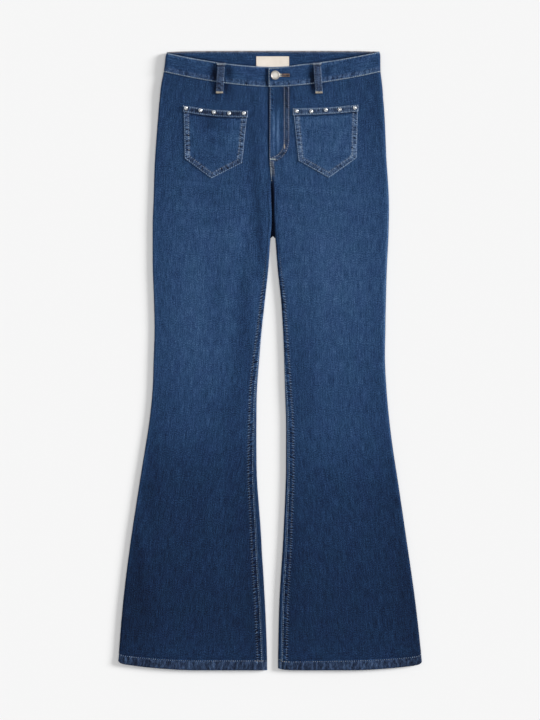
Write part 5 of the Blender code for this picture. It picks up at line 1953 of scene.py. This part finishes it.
def stitchTree():
    nodes, entry = newTree("stitches", sewing["stitch"], "Thread")
    up = nodes.add("GeometryNodeInputNamedAttribute", {"Name": "up"}, data_type="FLOAT_VECTOR")
    axes = nodes.add(
        "FunctionNodeAxesToRotation",
        {"Primary Axis": up[0], "Secondary Axis": nodes.add("GeometryNodeInputTangent")[0]},
        primary_axis="Z", secondary_axis="X",
    )
    wander = math.radians(sewing["wander"])
    turn = nodes.maths("ADD", entry["Turn"], anyBetween(nodes, -wander, wander, 11))
    turn = nodes.add("FunctionNodeEulerToRotation", {0: nodes.joined(0.0, 0.0, turn)})
    faced = nodes.add(
        "FunctionNodeRotateRotation", {0: axes[0], 1: turn[0]}, rotation_space="LOCAL"
    )
    long = anyBetween(nodes, *sewing["longer"], 5)
    wide = anyBetween(nodes, *sewing["wider"], 8)
    size = nodes.joined(
        nodes.times(entry["Length"], long), nodes.times(entry["Width"], wide),
        nodes.times(entry["Height"], 0.5),
    )
    bead = nodes.add("GeometryNodeMeshUVSphere", {**sewing["bead"], "Radius": 1.0})
    points = spacedPoints(nodes, entry)
    return endTree(nodes, points, bead[0], entry["Thread"], Rotation=faced[0], Scale=size)


def layNodes(piece, tree, values):
    # the tree's inputs are set by their identifiers, and its result becomes the piece's mesh
    modifier = piece.modifiers.new(tree.name, "NODES")
    modifier.node_group = tree
    names = {item.name: item for item in tree.interface.items_tree if item.in_out == "INPUT"}
    for word, value in values.items():
        modifier[names[word].identifier] = value
    bakeModifiers(piece)
    marks = piece.data.attributes
    if "up" in marks:
        marks.remove(marks["up"])
    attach(piece, "root")


def makeRuns(name, rows):
    # loose edges along each run, with the way up kept at every point
    edges, first = [], 0
    for row, _ in rows:
        edges += [(first + n, first + n + 1) for n in range(len(row) - 1)]
        first += len(row)
    made = plainObject(name, np.concatenate([row for row, _ in rows]), edges)
    up = made.data.attributes.new("up", "FLOAT_VECTOR", "POINT")
    up.data.foreach_set("vector", floats(np.concatenate([normal for _, normal in rows])))
    return made


def makeStitches():
    tree = stitchTree()
    for (kind, thread), rows in runs.items():
        sizes = {word: value * mm for word, value in sewing[kind].items()}
        sizes["Turn"] = math.radians(sewing[kind]["Turn"])
        made = makeRuns(thread + sewing["names"][kind], rows)
        layNodes(made, tree, {**sizes, "Thread": threads[thread]})


makeStitches()
print("stitches made")


def studTree():
    sizes = {word: studs[word] * mm for word in ("Radius", "Height", "Rim")}
    nodes, entry = newTree("studs", sizes, "Metal")
    inputs = {"Segments": studs["sides"], "Rings": studs["steps"] * 2, "Radius": 1.0}
    ball = nodes.add("GeometryNodeMeshUVSphere", inputs)[0]
    place = nodes.add("GeometryNodeInputPosition")[0]
    x, y, z = nodes.add("ShaderNodeSeparateXYZ", {0: place})
    shoulder = nodes.times(entry["Radius"], studs["shoulder"])
    height = nodes.times(nodes.maths("MAXIMUM", z, 0.0), entry["Height"])
    dome = nodes.joined(nodes.times(x, shoulder), nodes.times(y, shoulder), height)
    domed = nodes.add("GeometryNodeSetPosition", {"Geometry": ball, "Position": dome})[0]
    inputs = {"Vertices": studs["sides"], "Radius": entry["Radius"], "Depth": entry["Rim"]}
    disc = nodes.add("GeometryNodeMeshCylinder", inputs)[0]
    upTo = nodes.joined(0.0, 0.0, nodes.times(entry["Rim"], 0.5))
    raised = nodes.add("GeometryNodeTransform", {0: disc, "Translation": upTo})[0]
    both = nodes.add("GeometryNodeJoinGeometry")[0]
    for part in (domed, raised):
        nodes.enter(both.node.inputs[0], part)
    return endTree(nodes, entry["Geometry"], both, entry["Metal"])


def makeStuds():
    places = []
    for side, pocket in pockets.items():
        x, y = np.array(pocket["studs"]).T
        places.append(stacked(x, y, bindingTop(side, x, y) + cloth["seamGap"]))
    made = plainObject("pocketStuds", np.concatenate(places))
    layNodes(made, studTree(), {"Metal": studMetal})
    made.data.set_sharp_from_angle(angle=math.radians(50))
    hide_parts(*(f"stud_{word}_{n}" for word in sideWords.values() for n in range(1, 6)))


def toothTree():
    sizes = {word: zipper[word] * mm for word in ("Pitch", "Across", "Along", "Thick")}
    nodes, entry = newTree("zip teeth", sizes, "Metal")
    size = nodes.joined(entry["Across"], entry["Along"], entry["Thick"])
    block = nodes.add("GeometryNodeMeshCube", {"Size": size})[0]
    return endTree(nodes, spacedPoints(nodes, entry), block, entry["Metal"])


def makeTeeth():
    # two rows that mesh, half a pitch apart
    rows = []
    for way in (-1, 1):
        y = along(*zipper["teeth"], 2.0) + way * zipper["Pitch"] / 4
        x = zipper["teethAt"] + way * zipper["Across"] * 0.33
        points = stacked(x, y, frontHeight(x, y, right) - tapeTop())
        rows.append((points, upwards(points)))
    made = makeRuns("zipTeeth", rows)
    layNodes(made, toothTree(), {"Metal": zipMetal})
    made.data.set_sharp_from_angle(angle=math.radians(40))


def makeSlider():
    for word in ("slider", "tab"):
        (x0, x1), (y0, y1), (z0, z1) = zipper[word]
        xs = zipper["teethAt"] + np.array([x0, x0 + 0.4, *np.linspace(x0 + 1, x1 - 1, 5), x1 - 0.4, x1])
        ys = np.array([y0, y0 + 0.4, *np.linspace(y0 + 1, y1 - 1, 7), y1 - 0.4, y1])
        x, y = np.meshgrid(xs, ys)
        base = frontHeight(x, y, right) - tapeTop()
        near, far = stacked(x, y, base + z1), stacked(x, y, base + z0)
        piece = makeWall("zip" + word.capitalize(), near, far, near[..., :2], {}, zipMetal)
        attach(piece, "root")


for stage in (makeStuds, makeTeeth, makeSlider):
    stage()
print("studs, teeth and slider made")


# The surface, the light and the camera
studio = {
    "frameTall": 1274,  # the height of the surface that the picture takes in
    "frameMiddle": (0, 1.3),
    "cameraHeight": 9000,
    "sensor": 36,
    "floorDrop": 0.15,
    "floorSize": 60000,
    "floorAlbedo": 0.9,
    "ambient": 0.25,
    "lights": (
        # name, strength, where it comes from, degrees across
        ("overhead light", 1.15, (0.0, 0.0, 1.0), 50.0),
        ("key light", 3.6, (0.90, 0.25, 0.36), 18.0),
    ),
}


def makeStudio():
    half, low = studio["floorSize"] / 2, -studio["floorDrop"]
    corners = ((-half, -half, low), (half, -half, low), (half, half, low), (-half, half, low))
    floor = plainObject("floor", corners, faces=[(0, 1, 2, 3)])
    material, _, shader = newMaterial("plain white surface", 0.95, specular=0.0)
    shader["Base Color"].default_value = (studio["floorAlbedo"],) * 3 + (1,)
    floor.data.materials.append(material)
    floor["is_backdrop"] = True
    scene = bpy.context.scene
    scene.world = bpy.data.worlds.new("studio")
    scene.world.use_nodes = True
    background = scene.world.node_tree.nodes["Background"].inputs
    background["Color"].default_value = (1, 1, 1, 1)
    background["Strength"].default_value = studio["ambient"]
    for name, strength, comesFrom, across in studio["lights"]:
        sun = bpy.data.lights.new(name, "SUN")
        sun.energy, sun.angle = strength, math.radians(across)
        newObject(name, sun).rotation_euler = Vector(comesFrom).to_track_quat("Z", "Y").to_euler()
    lens = bpy.data.cameras.new("camera")
    lens.sensor_width = studio["sensor"]
    lens.lens = studio["sensor"] * studio["cameraHeight"] / studio["frameTall"]
    lens.clip_end = 100
    scene.camera = newObject("camera", lens)
    place = (*studio["frameMiddle"], studio["cameraHeight"])
    scene.camera.location = [value * mm for value in place]
    scene.view_settings.view_transform = "Standard"


makeStudio()
print("studio made")

sizes = {"cad": cadBox, "visual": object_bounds()}
{word: [list(corner) for corner in box] for word, box in sizes.items()}
